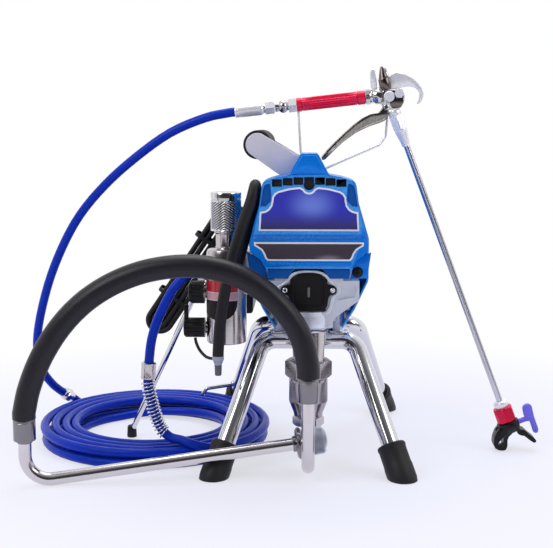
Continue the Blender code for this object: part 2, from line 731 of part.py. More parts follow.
def pump():
    gland, neck = CYLINDER_TOP - CYLINDER_NECK, ROD_PISTON_R + RUN
    profile = [
        (CYLINDER_R, CYLINDER_TOP), (CYLINDER_R, CYLINDER_END), (BORE_R, CYLINDER_END),
        (BORE_R, gland), (neck, gland), (neck, CYLINDER_TOP),
    ]
    finish(turned("pump_cylinder", profile, (0, PUMP_Y, 0), closed=True), STEEL)
    nut = hexagon("jam_nut", (0, PUMP_Y, CYLINDER_END), (0, PUMP_Y, CYLINDER_END + JAM_HIGH), JAM_ACROSS)
    cut(nut, rod("jam_thread", (0, PUMP_Y, 0.1), (0, PUMP_Y, 0.2), CYLINDER_R + GAP, sides=24))
    finish(nut, STEEL)
    top = CYLINDER_END - GAP
    valve = [
        (VALVE_R, top), (VALVE_R, VALVE_END + 0.017), (0.0190, VALVE_END + 0.004), (0.0190, VALVE_END),
        (0.0060, VALVE_END), (0.0060, BALL_SEAT), (BALL_R + RUN, BALL_SEAT + SEAT_DEEP), (BALL_R + RUN, top),
    ]
    finish(turned("intake_valve", valve, (0, PUMP_Y, 0), closed=True), STEEL)
    nut_top = VALVE_END - GAP
    inlet = hexagon("inlet_nut", (0, PUMP_Y, nut_top - INLET_NUT_HIGH), (0, PUMP_Y, nut_top), INLET_NUT_ACROSS)
    cut(inlet, rod("inlet_thread", (0, PUMP_Y, 0.04), (0, PUMP_Y, 0.1), PIPE_R + GAP, sides=20))
    finish(inlet, STEEL)


def inlet_ball():
    centre = (0, PUMP_Y, BALL_SEAT + SEAT_DEEP + BALL_R * 0.58)
    finish(ball("inlet_ball", centre, BALL_R), STEEL, pivot=centre)


def piston_rod():
    half, deep, foot = YOKE_HALF - RUN, YOKE_DEEP / 2, PISTON_FOOT
    piston = box("piston_rod", (-half, PUMP_Y - deep, YOKE_LOW), (half, PUMP_Y + deep, YOKE_TOP))
    cut(piston, box("pin_slot", (-0.0185, PUMP_Y - 0.020, CRANK_Z - 0.0058),
                    (0.0185, PUMP_Y + 0.020, CRANK_Z + 0.0058)))
    join(piston, rod("rod", (0, PUMP_Y, foot + 0.001), (0, PUMP_Y, YOKE_LOW + 0.002), ROD_PISTON_R, sides=20))
    join(piston, rod("piston", (0, PUMP_Y, foot), (0, PUMP_Y, foot + PISTON_HIGH), BORE_R - RUN, sides=24))
    finish(piston, CHROME, pivot=(0, PUMP_Y, CRANK_Z))


# ---------------------------------------------------------------- suction set

def inlet_elbow():
    far = PUMP_Y - U_REACH
    bend = U_REACH / 2
    low = VALVE_END - 0.0130
    points = [Vector((0, PUMP_Y, VALVE_END - 2 * GAP))]
    for step in range(13):
        angle = math.pi * step / 12
        points.append(Vector((0, PUMP_Y - bend + bend * math.cos(angle), low - bend * math.sin(angle))))
    points.append(Vector((0, far, U_FERRULE[0] + 0.002)))
    elbow = meshed(wire("inlet_elbow", points, PIPE_R, 3))
    join(elbow, rod("elbow_ferrule", (0, far, U_FERRULE[0]), (0, far, U_FERRULE[1]), 0.0132, sides=20))
    finish(elbow, STEEL)


def strainer_ends():
    return STRAINER_START, STRAINER_START + intake_direction() * STRAINER_LONG


def intake_direction():
    return (STRAINER_START - INTAKE_CORNER).normalized()


def intake_pipe():
    across, depth, ferrule_top = SUCTION_ROUTE[-1]
    corners = [(across, depth, 0.060), INTAKE_CORNER, STRAINER_START - intake_direction() * GAP]
    pipe = meshed(wire("intake_pipe", rounded(corners, 0.032, 6), PIPE_R, 3))
    join(pipe, rod("intake_ferrule", (across, depth, 0.0578), (across, depth, ferrule_top - GAP), FERRULE_R))
    finish(pipe, STEEL)


def strainer():
    start, end = strainer_ends()
    basket = rod("strainer", start, end, STRAINER_R, sides=24)
    along = intake_direction()
    cut(basket, rod("strainer_bore", start + along * 0.012, end + along * 0.01, STRAINER_R - 0.003, sides=20))
    cut(basket, rod("strainer_port", start - along * 0.01, start + along * 0.02, PIPE_R - 0.002, sides=16))
    finish(basket, STEEL)


def suction_hose():
    path = cord_path(SUCTION_ROUTE, (0, 0, 1), (0, 0, -1), SUCTION_R / 2)
    finish(wire("suction_hose", path, SUCTION_R, 3), BLACK_RUBBER)


# ---------------------------------------------------------------- filter and valves

def filter_body():
    inner = FILTER_R - 0.0065
    profile = [
        (FILTER_NECK_R, 0.3350), (FILTER_NECK_R, FILTER_TOP + 0.004), (FILTER_R - 0.003, FILTER_TOP),
        (FILTER_R, FILTER_TOP - 0.003), (FILTER_R, FILTER_BASE + 0.002), (FILTER_R - 0.002, FILTER_BASE),
        (0.0, FILTER_BASE), (0.0, FILTER_BASE + 0.010), (inner, FILTER_BASE + 0.010),
        (inner, FILTER_TOP - 0.008), (0.0130, FILTER_TOP), (0.0130, 0.3350),
    ]
    body = turned("filter_body", profile, (FILTER_X, FILTER_Y, 0), steps=16, closed=True)
    join(body, box("manifold_arm", (FILTER_X + FILTER_R - 0.004, -0.1085, 0.2350),
                   (-HOUSING_HALF - GAP, -0.0850, 0.2970)))
    for name, high in (("pressure_boss", PRESSURE_KNOB[2]), ("drain_boss", DRAIN_KNOB[2])):
        join(body, rod(name, (FILTER_X - FILTER_R + 0.004, FILTER_Y, high), (KNOB_FACE, FILTER_Y, high),
                       0.0080, sides=14))
    join(body, rod("outlet_boss", (-0.1300, OUTLET_Y, OUTLET_Z), (OUTLET_FACE, OUTLET_Y, OUTLET_Z),
                   0.0085, sides=14))
    x, y, hose_start = DRAIN_ROUTE[0]
    join(body, rod("drain_port", (x, -0.1150, PORT_Z), (x, y - 0.006, PORT_Z), 0.0060, sides=12))
    join(body, rod("drain_barb", (x, y, PORT_Z), (x, y, hose_start - GAP), 0.0055, sides=12))
    finish(body, STEEL)


def filter_cap():
    low, high = FILTER_CAP
    cavity = FILTER_NECK_R + GAP
    profile = [
        (0.0, high), (FILTER_CAP_R - 0.001, high), (FILTER_CAP_R, high - 0.001), (FILTER_CAP_R, low),
        (cavity, low), (cavity, 0.3360), (0.0, 0.3360),
    ]
    finish(turned("filter_cap", profile, (FILTER_X, FILTER_Y, 0)), CHROME)


def knob(name, size, look):
    radius, deep, high = size
    start = (KNOB_FACE - GAP, FILTER_Y, high)
    made = rod(name, start, (KNOB_FACE - GAP - deep, FILTER_Y, high), radius, radius * 0.94, sides=20)
    finish(made, look, pivot=start)


def outlet_fitting():
    start = (OUTLET_FACE - GAP, OUTLET_Y, OUTLET_Z)
    fitting = hexagon("outlet_fitting", start, (-0.1510, OUTLET_Y, OUTLET_Z), 0.0165)
    join(fitting, rod("outlet_collar", (-0.1500, OUTLET_Y, OUTLET_Z),
                      (RISER_ROUTE[0][0] + GAP, OUTLET_Y, OUTLET_Z), 0.0078, sides=16))
    finish(fitting, CHROME)


def drain_hose():
    path = cord_path(DRAIN_ROUTE, (0, 0, 1), (0, 0, -1), DRAIN_R / 2)
    finish(wire("drain_hose", path, DRAIN_R), BLACK_RUBBER)
    x, y, z = DRAIN_ROUTE[-1]
    nozzle = rod("drain_nozzle", (x, y, z - GAP), (x, y, z - 0.012), 0.0076, sides=16)
    join(nozzle, rod("nozzle_tip", (x, y, z - 0.0115), (x, y, z - 0.0265), 0.0050, 0.0042, 14))
    finish(nozzle, GREY_PLASTIC)


# ---------------------------------------------------------------- handle and control box

def bracket_outline():
    points = []
    for step in range(9):
        angle = math.radians(250 - step * 22)
        points.append((GRIP_X + 0.013 * math.cos(angle), GRIP_Z + 0.013 * math.sin(angle)))
    return points + [(-0.0185, 0.4255), (0.0, 0.4150), (0.0220, 0.4020), (0.0220, SHROUD_TOP + GAP),
                     (-0.0290, SHROUD_TOP + GAP), (-0.0440, 0.4000)]


def carry_handle():
    bracket = slab("handle_bracket", bracket_outline(), BRACKET_FRONT, BRACKET_REAR)
    cut(bracket, box("grip_room", (-0.150, BRACKET_FRONT + BRACKET_PLATE, SPINE_TOP),
                     (0.050, BRACKET_REAR - BRACKET_PLATE, 0.500)))
    cut(bracket, box("spine_side", (-0.150, BRACKET_FRONT + BRACKET_PLATE, 0.380),
                     (-0.0290, BRACKET_REAR - BRACKET_PLATE, 0.450)))
    finish(bracket, GREY_PAINT)
    grip = rod("handle_grip", (GRIP_X, BRACKET_FRONT + BRACKET_PLATE + GAP, GRIP_Z),
               (GRIP_X, BRACKET_REAR - BRACKET_PLATE - GAP, GRIP_Z), GRIP_R, sides=24)
    finish(grip, BLACK_RUBBER)


def control_box():
    case = box("control_box", BOX_LOW, BOX_HIGH)
    edge = case.modifiers.new("edges", "BEVEL")
    edge.width = 0.003
    edge.segments = 2
    back = BOX_HIGH[1]
    cut(case, box("switch_pocket", (SWITCH_X - 0.0100, back - 0.011, SWITCH_Z - 0.0150),
                  (SWITCH_X + 0.0100, back + 0.010, SWITCH_Z + 0.0150)))
    finish(case, BLACK_PLASTIC)
    half, deep, proud = 0.0120, -0.0080, 0.0030
    outline = [(back + deep, SWITCH_Z - half), (back + proud, SWITCH_Z - half), (back + 0.0010, SWITCH_Z),
               (back + proud, SWITCH_Z + half), (back + deep, SWITCH_Z + half)]
    rocker = slab("power_switch", outline, SWITCH_X - 0.0097, SWITCH_X + 0.0097, facing="X")
    finish(rocker, BLACK_RUBBER, pivot=(SWITCH_X, back - 0.003, SWITCH_Z))
    side, depth, high = BOX_LOW[0], LEAD_ROUTE[0][1], LEAD_ROUTE[0][2]
    relief = rod("strain_relief", (side - GAP, depth, high), (LEAD_ROUTE[0][0] + GAP, depth, high),
                 0.0075, 0.0052, 16)
    finish(relief, BLACK_RUBBER)


# ---------------------------------------------------------------- paint hose

def coil_points():
    """Two layers of a flat spiral: inwards on the top layer, outwards again on the floor."""
    top, low = HOSE_R + 0.0002 + COIL_PITCH, HOSE_R + 0.0002
    half_turns = COIL_TURNS / 2
    points = []
    count = round(COIL_TURNS * LOOP_POINTS)
    for step in range(count + 1):
        turns = COIL_TURNS * step / count
        inward = min(turns, COIL_TURNS - turns)
        radius = COIL_OUTER - COIL_PITCH * inward
        fallen = min(1.0, max(0.0, 2 * (turns - half_turns) + 0.5))
        high = top + (low - top) * fallen
        angle = COIL_START + 2 * math.pi * turns
        points.append(Vector((COIL_X + radius * math.cos(angle), COIL_Y + radius * math.sin(angle), high)))
    return points


def coil_run_in():
    """The straight length in front of the coil's first point."""
    first, second = coil_points()[:2]
    return first - (second - first).normalized() * 2 * HOSE_R


def hose_coil():
    points = coil_points()
    print("hose_coil: least gap to itself %.2f mm" % (1000 * least_gap(points, 2 * HOSE_R, LOOP_POINTS // 2)))
    leaving = points[-1] - points[-2]
    tail = cord_path([points[-1], *TAIL_ROUTE, COUPLING_ROUTE[0]], leaving, coupling_way(), HOSE_R)
    finish(wire("hose_coil", [coil_run_in(), *points, *tail[1:]], HOSE_R, 1), BLUE_HOSE)


def coupling_way():
    return (Vector(COUPLING_ROUTE[1]) - Vector(COUPLING_ROUTE[0])).normalized()


def hose_riser():
    end = coil_run_in()
    away = (coil_points()[0] - end).normalized()
    path = cord_path([*RISER_ROUTE, end - away * GAP], (-1, 0, 0), away, HOSE_R)
    finish(wire("hose_riser", path, HOSE_R), BLUE_HOSE)


def spring_guard():
    """A helix of wire round the hose, along the hose's own route."""
    path = smooth(SPRING_ROUTE, 6)
    slopes = [(path[min(i + 2, len(path) - 1)] - path[max(i - 2, 0)]).normalized() for i in range(len(path))]
    lengths = [0.0]
    for first, second in zip(path, path[1:]):
        lengths.append(lengths[-1] + (second - first).length)
    points = []
    count = SPRING_TURNS * CURL_POINTS
    for step in range(count + 1):
        want = lengths[-1] * step / count
        piece = next(i for i in range(len(path) - 1) if lengths[i + 1] >= want - 1e-9)
        share = (want - lengths[piece]) / (lengths[piece + 1] - lengths[piece])
        centre = path[piece].lerp(path[piece + 1], share)
        along = slopes[piece].lerp(slopes[piece + 1], share).normalized()
        across = Vector((0, 1, 0)).cross(along).normalized()
        over = along.cross(across)
        angle = 2 * math.pi * step / CURL_POINTS
        points.append(centre + SPRING_R * (math.cos(angle) * across + math.sin(angle) * over))
    print("spring_guard: least gap to itself %.2f mm"
          % (1000 * least_gap(points, 2 * SPRING_WIRE, CURL_POINTS - 2)))
    finish(wire("spring_guard", points, SPRING_WIRE, 1), CHROME)


def sleeve(name, start, end, outer, inner, look, sides=18):
    start, end = Vector(start), Vector(end)
    along = (end - start).normalized()
    made = rod(name, start, end, outer, sides=sides)
    cut(made, rod(name + "_bore", start - along * 0.01, end + along * 0.01, inner, sides=sides))
    finish(made, look)


def hose_pieces():
    hose_coil()
    hose_riser()
    spring_guard()
    sleeve("guard_collar", COLLAR_ROUTE[0], COLLAR_ROUTE[1], 0.0102, HOSE_R + 2 * GAP, STEEL)
    start, end = (Vector(point) for point in COUPLING_ROUTE)
    along = coupling_way()
    coupling = rod("hose_coupling", start + along * GAP, end - along * GAP, 0.0082, sides=16)
    middle = (start + end) / 2
    join(coupling, hexagon("coupling_nut", middle - along * 0.004, middle + along * 0.004, 0.0185))
    finish(coupling, CHROME)
    path = cord_path(WHIP_ROUTE, along, -ferrule_way(), HOSE_R)
    finish(wire("hose_whip", path, HOSE_R), BLUE_HOSE)


# ---------------------------------------------------------------- power cord

def hank_points():
    """Long loops with round ends, in flat layers that spiral in and out by turns."""
    across = HANK_ALONG.cross(Vector((0, 1, 0))).normalized()
    per_layer = HANK_TURNS / HANK_LAYERS
    count = HANK_TURNS * HANK_POINTS
    points = []
    for step in range(count + 1):
        turns = HANK_TURNS * step / count
        layer, within = divmod(turns, per_layer)
        inward = within if layer % 2 == 0 else per_layer - within
        if turns == HANK_TURNS:
            layer, inward = HANK_LAYERS - 1, 0.0
        radius = HANK_ROUND - HANK_STEP * inward
        along, side = stadium((step % HANK_POINTS) / HANK_POINTS, radius)
        depth = 0.0
        for change in range(1, HANK_LAYERS):
            depth += min(1.0, max(0.0, 2 * (turns - change * per_layer) + 0.5))
        rear = (HANK_LAYERS - 1) / 2 - depth
        points.append(HANK_MIDDLE + HANK_ALONG * along + across * side + Vector((0, rear * HANK_STEP, 0)))
    return points


def stadium(share, radius):
    """A place on a long loop: half a run, a round end, a whole run, the other end, half a run."""
    end_share = HANK_END_POINTS / HANK_POINTS
    run_share = 0.5 - end_share
    quarter = run_share / 2
    if share < quarter:
        return -HANK_HALF * share / quarter, radius
    if share < quarter + end_share:
        angle = math.pi * (share - quarter) / end_share
        return -HANK_HALF - radius * math.sin(angle), radius * math.cos(angle)
    if share < 3 * quarter + end_share:
        return HANK_HALF * ((share - quarter - end_share) / quarter - 1), -radius
    if share < 3 * quarter + 2 * end_share:
        angle = math.pi * (share - 3 * quarter - end_share) / end_share
        return HANK_HALF + radius * math.sin(angle), -radius * math.cos(angle)
    return HANK_HALF * (1 - share) / quarter, radius


def power_cord():
    points = hank_points()
    print("cord_hank: least gap to itself %.2f mm" % (1000 * least_gap(points, 2 * CORD_R, HANK_POINTS // 2)))
    back = -HANK_ALONG
    straight = points[-1] + back * 2 * CORD_R
    start, end = (Vector(point) for point in PLUG_ENDS)
    along = (end - start).normalized()
    tail = cord_path([straight, *CORD_TAIL, start], back, along, CORD_R)
    run_in = points[0] - back * 2 * CORD_R
    finish(wire("cord_hank", [run_in, *points, *tail], CORD_R, 1), BLACK_RUBBER)
    lead = cord_path([*LEAD_ROUTE, run_in - back * GAP], (-1, 0, 0), back, CORD_R)
    finish(wire("cord_lead", lead, CORD_R), BLACK_RUBBER)
    plug = rod("plug", start + along * GAP, start + along * 0.016, 0.0055, 0.0120, 16)
    join(plug, rod("plug_face", start + along * 0.0155, end, 0.0130, sides=16))
    for side in (-1, 1):
        pin = end + Vector((side * 0.0065, 0, 0))
        join(plug, rod("plug_pin_%d" % side, pin - along * 0.002, pin + along * 0.014, 0.0022, sides=10))
    finish(plug, BLACK_PLASTIC)


# ---------------------------------------------------------------- gun

def gun_slab(name, points, half):
    return slab(name, points, GUN_Y - half, GUN_Y + half)


def on_lance(along, out=0.0):
    """A place this far down the lance from its top, and this far out to its right."""
    right = Vector((-LANCE_ALONG.z, 0.0, LANCE_ALONG.x))
    return LANCE_TOP + LANCE_ALONG * along + right * out


def in_plane(place):
    return (place.x, place.z)


def gun_body():
    body = gun_slab("gun_body", [
        (0.0900, 0.5130), (0.1302, 0.5130), (0.1325, 0.5080), (0.1325, 0.4920), (0.1260, 0.4860),
        (0.0945, 0.4860), (0.0900, 0.4930),
    ], BODY_HALF)
    join(body, rod("gun_neck", HANDLE_FRONT + Vector((GAP, 0, 0)), (0.0950, GUN_Y, 0.5045), 0.0105, sides=18))
    hook = [(0.1180, 0.5110), (0.1110, 0.5280), (0.1130, 0.5340), (0.1184, 0.5365), (0.1406, 0.5310),
            (0.1555, 0.5165), (0.1580, 0.5070), (0.1495, 0.4935), (0.1520, 0.5075), (0.1480, 0.5155),
            (0.1350, 0.5200), (0.1270, 0.5110)]
    join(body, gun_slab("hook", hook, 0.0040))
    cut(body, gun_slab("trigger_room", [(0.0960, 0.4700), (0.1120, 0.4700), (0.1120, 0.4896), (0.0960, 0.4896)],
                       0.0064))
    finish(body, STEEL)


def ferrule_start():
    back = (HANDLE_BACK - HANDLE_FRONT).normalized()
    return HANDLE_BACK + back * (2 * GAP + 0.0300)


def ferrule_way():
    return (Vector(WHIP_ROUTE[-1]) - ferrule_start()).normalized()


def gun_handle():
    grip = rod("gun_handle", HANDLE_BACK, HANDLE_FRONT, HANDLE_R, sides=20)
    finish(grip, RED_METAL)
    along = (HANDLE_BACK - HANDLE_FRONT).normalized()
    start = HANDLE_BACK + along * GAP
    nut = hexagon("swivel_nut", start, start + along * 0.0110, 0.0185)
    join(nut, rod("swivel_stem", start + along * 0.0105, start + along * 0.0300, 0.0062, sides=16))
    join(nut, hexagon("stem_nut", start + along * 0.0170, start + along * 0.0255, 0.0150))
    finish(nut, CHROME, pivot=start)
    root, toward = ferrule_start(), ferrule_way()
    ferrule = rod("hose_ferrule", root, Vector(WHIP_ROUTE[-1]) - toward * GAP, 0.0070, 0.0084, 18)
    join(ferrule, hexagon("ferrule_nut", root, root + toward * 0.0120, 0.0165))
    finish(ferrule, CHROME)


def gun_controls():
    lever = [(0.1010, 0.4885), (0.1075, 0.4885), (0.1090, 0.4790), (0.1060, 0.4705), (0.0735, 0.4574),
             (0.0381, 0.4352), (0.0240, 0.4190), (0.0185, 0.4155), (0.0170, 0.4180), (0.0250, 0.4300),
             (0.0436, 0.4482), (0.0714, 0.4700), (0.0960, 0.4800)]
    finish(gun_slab("gun_trigger", lever, 0.0060), IRON, pivot=TRIGGER_PIVOT)
    beside = GUN_Y + 0.0088
    guard = rounded([(0.1105, beside, 0.4857), (0.1115, beside, 0.4450), (0.1010, beside, 0.4370),
                     (0.0240, GUN_Y, 0.4045), (0.0095, GUN_Y, SPINE_TOP + GAP + GUARD_R),
                     (-0.0100, GUN_Y, 0.4180), (-0.0145, GUN_Y, HANDLE_BACK.z - HANDLE_R - 0.0008)],
                    0.0040, 2)
    finish(wire("trigger_guard", guard, GUARD_R), CHROME)
    x, _, z = LOCK_PIVOT
    lock = [(x - 0.0015, z - 0.0028), (x + 0.0015, z - 0.0028), (x + 0.0045, z + 0.0010),
            (x + 0.0040, z + 0.0100), (x + 0.0020, z + 0.0230), (x - 0.0035, z + 0.0230),
            (x - 0.0050, z + 0.0080), (x - 0.0045, z + 0.0010)]
    finish(gun_slab("trigger_lock", lock, 0.0050), STEEL, pivot=LOCK_PIVOT)
    cap = rod("gun_end_cap", (0.1058, GUN_Y, 0.5150), (0.1020, GUN_Y, 0.5330), 0.0070, sides=16)
    join(cap, rod("cap_cone", (0.1021, GUN_Y, 0.5325), (0.0985, GUN_Y, 0.5480), 0.0068, 0.0015, 16))
    finish(cap, STEEL)


def lance():
    tube = rod("lance_tube", on_lance(-0.004), on_lance(LANCE_LONG), LANCE_R, sides=14)
    join(tube, rod("lance_taper", on_lance(-0.016), on_lance(-0.002), 0.0085, 0.0048, 16))
    join(tube, hexagon("lance_barrel", on_lance(-0.031), on_lance(-0.0155), 0.0175))
    join(tube, rod("lance_nut", on_lance(-0.052), on_lance(-0.030), 0.0078, sides=18))
    cut(tube, gun_slab("body_room", [(0.0800, 0.5300), (0.1420, 0.5300), (0.1420, 0.4860 - GAP),
                                     (0.0800, 0.4860 - GAP)], 0.020))
    finish(tube, STEEL)


def tip_set():
    end = LANCE_LONG + GAP
    nut = rod("tip_nut", on_lance(end), on_lance(end + 0.0095), 0.0105, sides=18)
    join(nut, hexagon("tip_hex", on_lance(end + 0.0090), on_lance(end + 0.0250), 0.0270))
    finish(nut, RED_METAL)
    top, low, axis = end + 0.0250 + GAP, end + 0.0400, LANCE_LONG + KEY_PLACE
    guard = rod("tip_guard", on_lance(top), on_lance(low), 0.0140, sides=20)
    for side in (-1, 1):
        wing = [on_lance(low - 0.009, side * 0.006), on_lance(low - 0.004, side * 0.013),
                on_lance(low + 0.016, side * 0.0255), on_lance(low + 0.023, side * 0.0245),
                on_lance(low + 0.0235, side * 0.0195), on_lance(low + 0.002, side * 0.006)]
        join(guard, gun_slab("wing_%d" % side, [in_plane(point) for point in wing], 0.0130))
        window = [on_lance(low + 0.004, side * 0.010), on_lance(low + 0.007, side * 0.030),
                  on_lance(low + 0.019, side * 0.030), on_lance(low + 0.016, side * 0.010)]
        cut(guard, gun_slab("wing_window_%d" % side, [in_plane(point) for point in window], 0.0085))
    cut(guard, rod("key_bore", on_lance(axis, -0.020), on_lance(axis, 0.030), 0.0045 + GAP, sides=16))
    finish(guard, BLACK_PLASTIC)
    key = rod("tip_key", on_lance(axis, -0.0135), on_lance(axis, 0.0300), 0.0045, sides=16)
    out = 0.0285
    paddle = [on_lance(axis - 0.0215, out + 0.0035), on_lance(axis - 0.0180, out + 0.0075),
              on_lance(axis + 0.0180, out + 0.0060), on_lance(axis + 0.0215, out + 0.0030),
              on_lance(axis + 0.0100, out), on_lance(axis - 0.0100, out)]
    join(key, gun_slab("paddle", [in_plane(point) for point in paddle], 0.0040))
    finish(key, KEY_VIOLET, pivot=on_lance(axis))


def build():
    stand_frame("front_frame", True)
    stand_frame("rear_frame", False)
    for front, row in ((True, "front"), (False, "rear")):
        for side, hand in ((-1, "left"), (1, "right")):
            foot_cap("foot_cap_%s_%s" % (row, hand), side, front)
    side_stay()
    gear_housing()
    crank_gear()
    motor_rotor()
    motor_body()
    front_cover()
    rear_shroud()
    badge_plates()
    pump_door()
    cover_screw()
    pump()
    inlet_ball()
    piston_rod()
    inlet_elbow()
    intake_pipe()
    strainer()
    suction_hose()
    filter_body()
    filter_cap()
    knob("pressure_knob", PRESSURE_KNOB, BLACK_PLASTIC)
    knob("drain_valve_knob", DRAIN_KNOB, BLACK_PLASTIC)
    outlet_fitting()
    drain_hose()
    carry_handle()
    control_box()
    hose_pieces()
    power_cord()
    gun_body()
    gun_handle()
    gun_controls()
    lance()
    tip_set()


build()
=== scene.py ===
"""The look of an airless paint sprayer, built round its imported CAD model.

Sizes are metres, and millimetres inside mm(). Each section makes one piece, or a group of like pieces, in the order
they are put together.
"""

import math

import bpy
from mathutils import Matrix, Vector


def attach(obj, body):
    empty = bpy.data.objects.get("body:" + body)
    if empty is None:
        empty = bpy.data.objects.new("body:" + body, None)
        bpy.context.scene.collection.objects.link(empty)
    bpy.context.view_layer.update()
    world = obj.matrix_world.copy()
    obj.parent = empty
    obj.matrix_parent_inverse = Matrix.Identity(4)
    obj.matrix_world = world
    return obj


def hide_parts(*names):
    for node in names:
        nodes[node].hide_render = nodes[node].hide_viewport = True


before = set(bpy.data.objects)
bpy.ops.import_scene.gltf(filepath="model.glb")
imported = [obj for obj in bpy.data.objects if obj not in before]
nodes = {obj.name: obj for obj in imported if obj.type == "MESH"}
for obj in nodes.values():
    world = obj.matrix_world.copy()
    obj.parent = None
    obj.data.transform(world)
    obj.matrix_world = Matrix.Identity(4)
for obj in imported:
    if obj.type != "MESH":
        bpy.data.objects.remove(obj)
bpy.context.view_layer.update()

# ------------------------------------------------------------------ studio
# A pale floor that runs out to white, two soft boxes and a top light. What mirrors see of the room is dim behind the
# camera. Two dark cards stand outside the view and one lies on the floor: these give the chrome its dark lines.

scene = bpy.context.scene
scene.view_settings.view_transform = "Standard"


def add(tree, kind, *feeds, by=None, **values):
    """A node with its settings and its inputs by name. A feed is an input and the socket linked to it, and by is the
    second number or vector of a sum."""
    made = tree.nodes.new(kind)
    for key, value in values.items():
        if hasattr(made, key):
            setattr(made, key, value)
        else:
            made.inputs[key.replace("_", " ")].default_value = value
    if by is not None:
        made.inputs[1].default_value = by
    for entry, socket in feeds:
        tree.links.new(socket, made.inputs[entry])
    return made


def camera_sees(tree, plain, seen, share=None):
    """Mixes in a second shader for camera, mirror and glass rays."""
    rays = add(tree, "ShaderNodeLightPath").outputs
    either = add(tree, "ShaderNodeMath", (0, rays["Is Camera Ray"]), (1, rays["Is Glossy Ray"]), operation="MAXIMUM")
    all_three = add(tree, "ShaderNodeMath", (0, either.outputs[0]), (1, rays["Is Transmission Ray"]),
                    operation="MAXIMUM")
    amount = add(tree, "ShaderNodeMath", (0, all_three.outputs[0]), operation="MULTIPLY", by=1.0)
    if share is not None:
        tree.links.new(share, amount.inputs[1])
    return add(tree, "ShaderNodeMixShader", (0, amount.outputs[0]), (1, plain), (2, seen)).outputs[0]


world = bpy.data.worlds.new("studio_air")
scene.world = world
world.use_nodes = True
air = world.node_tree
air_light = air.nodes["Background"]
air_light.inputs["Color"].default_value = (1.0, 1.0, 1.0, 1.0)
air_light.inputs["Strength"].default_value = 0.42
air_way = add(air, "ShaderNodeTexCoord")
air_split = add(air, "ShaderNodeSeparateXYZ", (0, air_way.outputs["Generated"]))
air_front = add(air, "ShaderNodeMapRange", ("Value", air_split.outputs["Y"]), interpolation_type="SMOOTHSTEP",
                From_Min=-0.95, From_Max=0.3, To_Min=0.04, To_Max=1.0)
air_white = add(air, "ShaderNodeBackground", ("Strength", air_front.outputs["Result"]), Color=(1.0, 1.0, 1.0, 1.0))
air_end = camera_sees(air, air_light.outputs[0], air_white.outputs[0])
air.links.new(air_end, air.nodes["World Output"].inputs["Surface"])

bpy.ops.object.select_all(action="DESELECT")
bpy.ops.mesh.primitive_plane_add(size=40.0, location=(0.0, 0.0, 0.0))
floor = bpy.context.object
floor.name = "studio_floor"
floor_white = bpy.data.materials.new("studio_floor_white")
floor_white.use_nodes = True
paper = floor_white.node_tree
matt_paper = paper.nodes["Principled BSDF"]
matt_paper.inputs["Base Color"].default_value = (0.66, 0.68, 1.0, 1.0)
matt_paper.inputs["Roughness"].default_value = 0.7
glow = add(paper, "ShaderNodeEmission", Strength=1.0)
floor_place = add(paper, "ShaderNodeTexCoord")
distance = add(paper, "ShaderNodeVectorMath", (0, floor_place.outputs["Object"]), operation="LENGTH")
fade = add(paper, "ShaderNodeMapRange", ("Value", distance.outputs["Value"]), From_Min=0.30, From_Max=0.85,
           To_Min=0.62, To_Max=1.0)
floor_end = camera_sees(paper, matt_paper.outputs[0], glow.outputs[0], fade.outputs["Result"])
paper.links.new(floor_end, paper.nodes["Material Output"].inputs["Surface"])
floor.data.materials.append(floor_white)

card_black = bpy.data.materials.new("card_black")
card_black.use_nodes = True
card_matt = card_black.node_tree.nodes["Principled BSDF"]
card_matt.inputs["Base Color"].default_value = (0.01, 0.01, 0.01, 1.0)
card_matt.inputs["Roughness"].default_value = 1.0
for name, place, turn, size in (
    ("dark_card_left", (-1.9, -1.2, 0.9), (90, 0, 62), (0.5, 2.0)),
    ("dark_card_right", (2.0, -0.9, 0.9), (90, 0, -70), (0.55, 2.0)),
    ("dark_card_floor", (0.0, -1.15, 0.004), (0, 0, 0), (2.4, 0.75)),
):
    bpy.ops.mesh.primitive_plane_add(size=1.0, location=place, rotation=[math.radians(angle) for angle in turn])
    card = bpy.context.object
    card.name = name
    card.scale = (*size, 1.0)
    card.data.materials.append(card_black)
    card.visible_camera = card.visible_diffuse = card.visible_shadow = card.visible_transmission = False

for name, place, aim, size, power in (
    ("soft_box_left", (-1.7, -1.5, 1.9), (0.0, 0.0, 0.25), 1.3, 26.0),
    ("soft_box_right", (1.9, -1.0, 1.5), (0.0, 0.0, 0.25), 1.1, 15.0),
    ("top_light", (0.1, 0.5, 2.3), (0.0, 0.0, 0.1), 1.6, 24.0),
):
    bpy.ops.object.light_add(type="AREA", location=place)
    lamp = bpy.context.object
    lamp.name = name
    lamp.data.size = size
    lamp.data.energy = power
    lamp.rotation_euler = (Vector(aim) - Vector(place)).to_track_quat("-Z", "Y").to_euler()

bpy.ops.object.camera_add(location=(0.0269, -1.592, 0.465), rotation=(math.radians(82.35), 0.0, math.radians(1.68)))
camera = bpy.context.object
camera.data.sensor_width = 36.0
camera.data.lens = 72.26
scene.camera = camera

# ------------------------------------------------------------------ paint hose
# Blue nylon hose of 13 mm outside, 7.9 m from the outlet to its coupling and a whip of 0.62 m to the gun. It lies on
# the floor in a loose coil of two layers. The points are those of the CAD routes, measured from the machine's middle.

MIDDLE = Vector((0.0269, 0.0140, 0.0))
HOSE_R = 0.0065


def mm(*places):
    """Places given in millimetres, as metres."""
    return [tuple(round(value / 1000, 7) for value in place) for place in places]


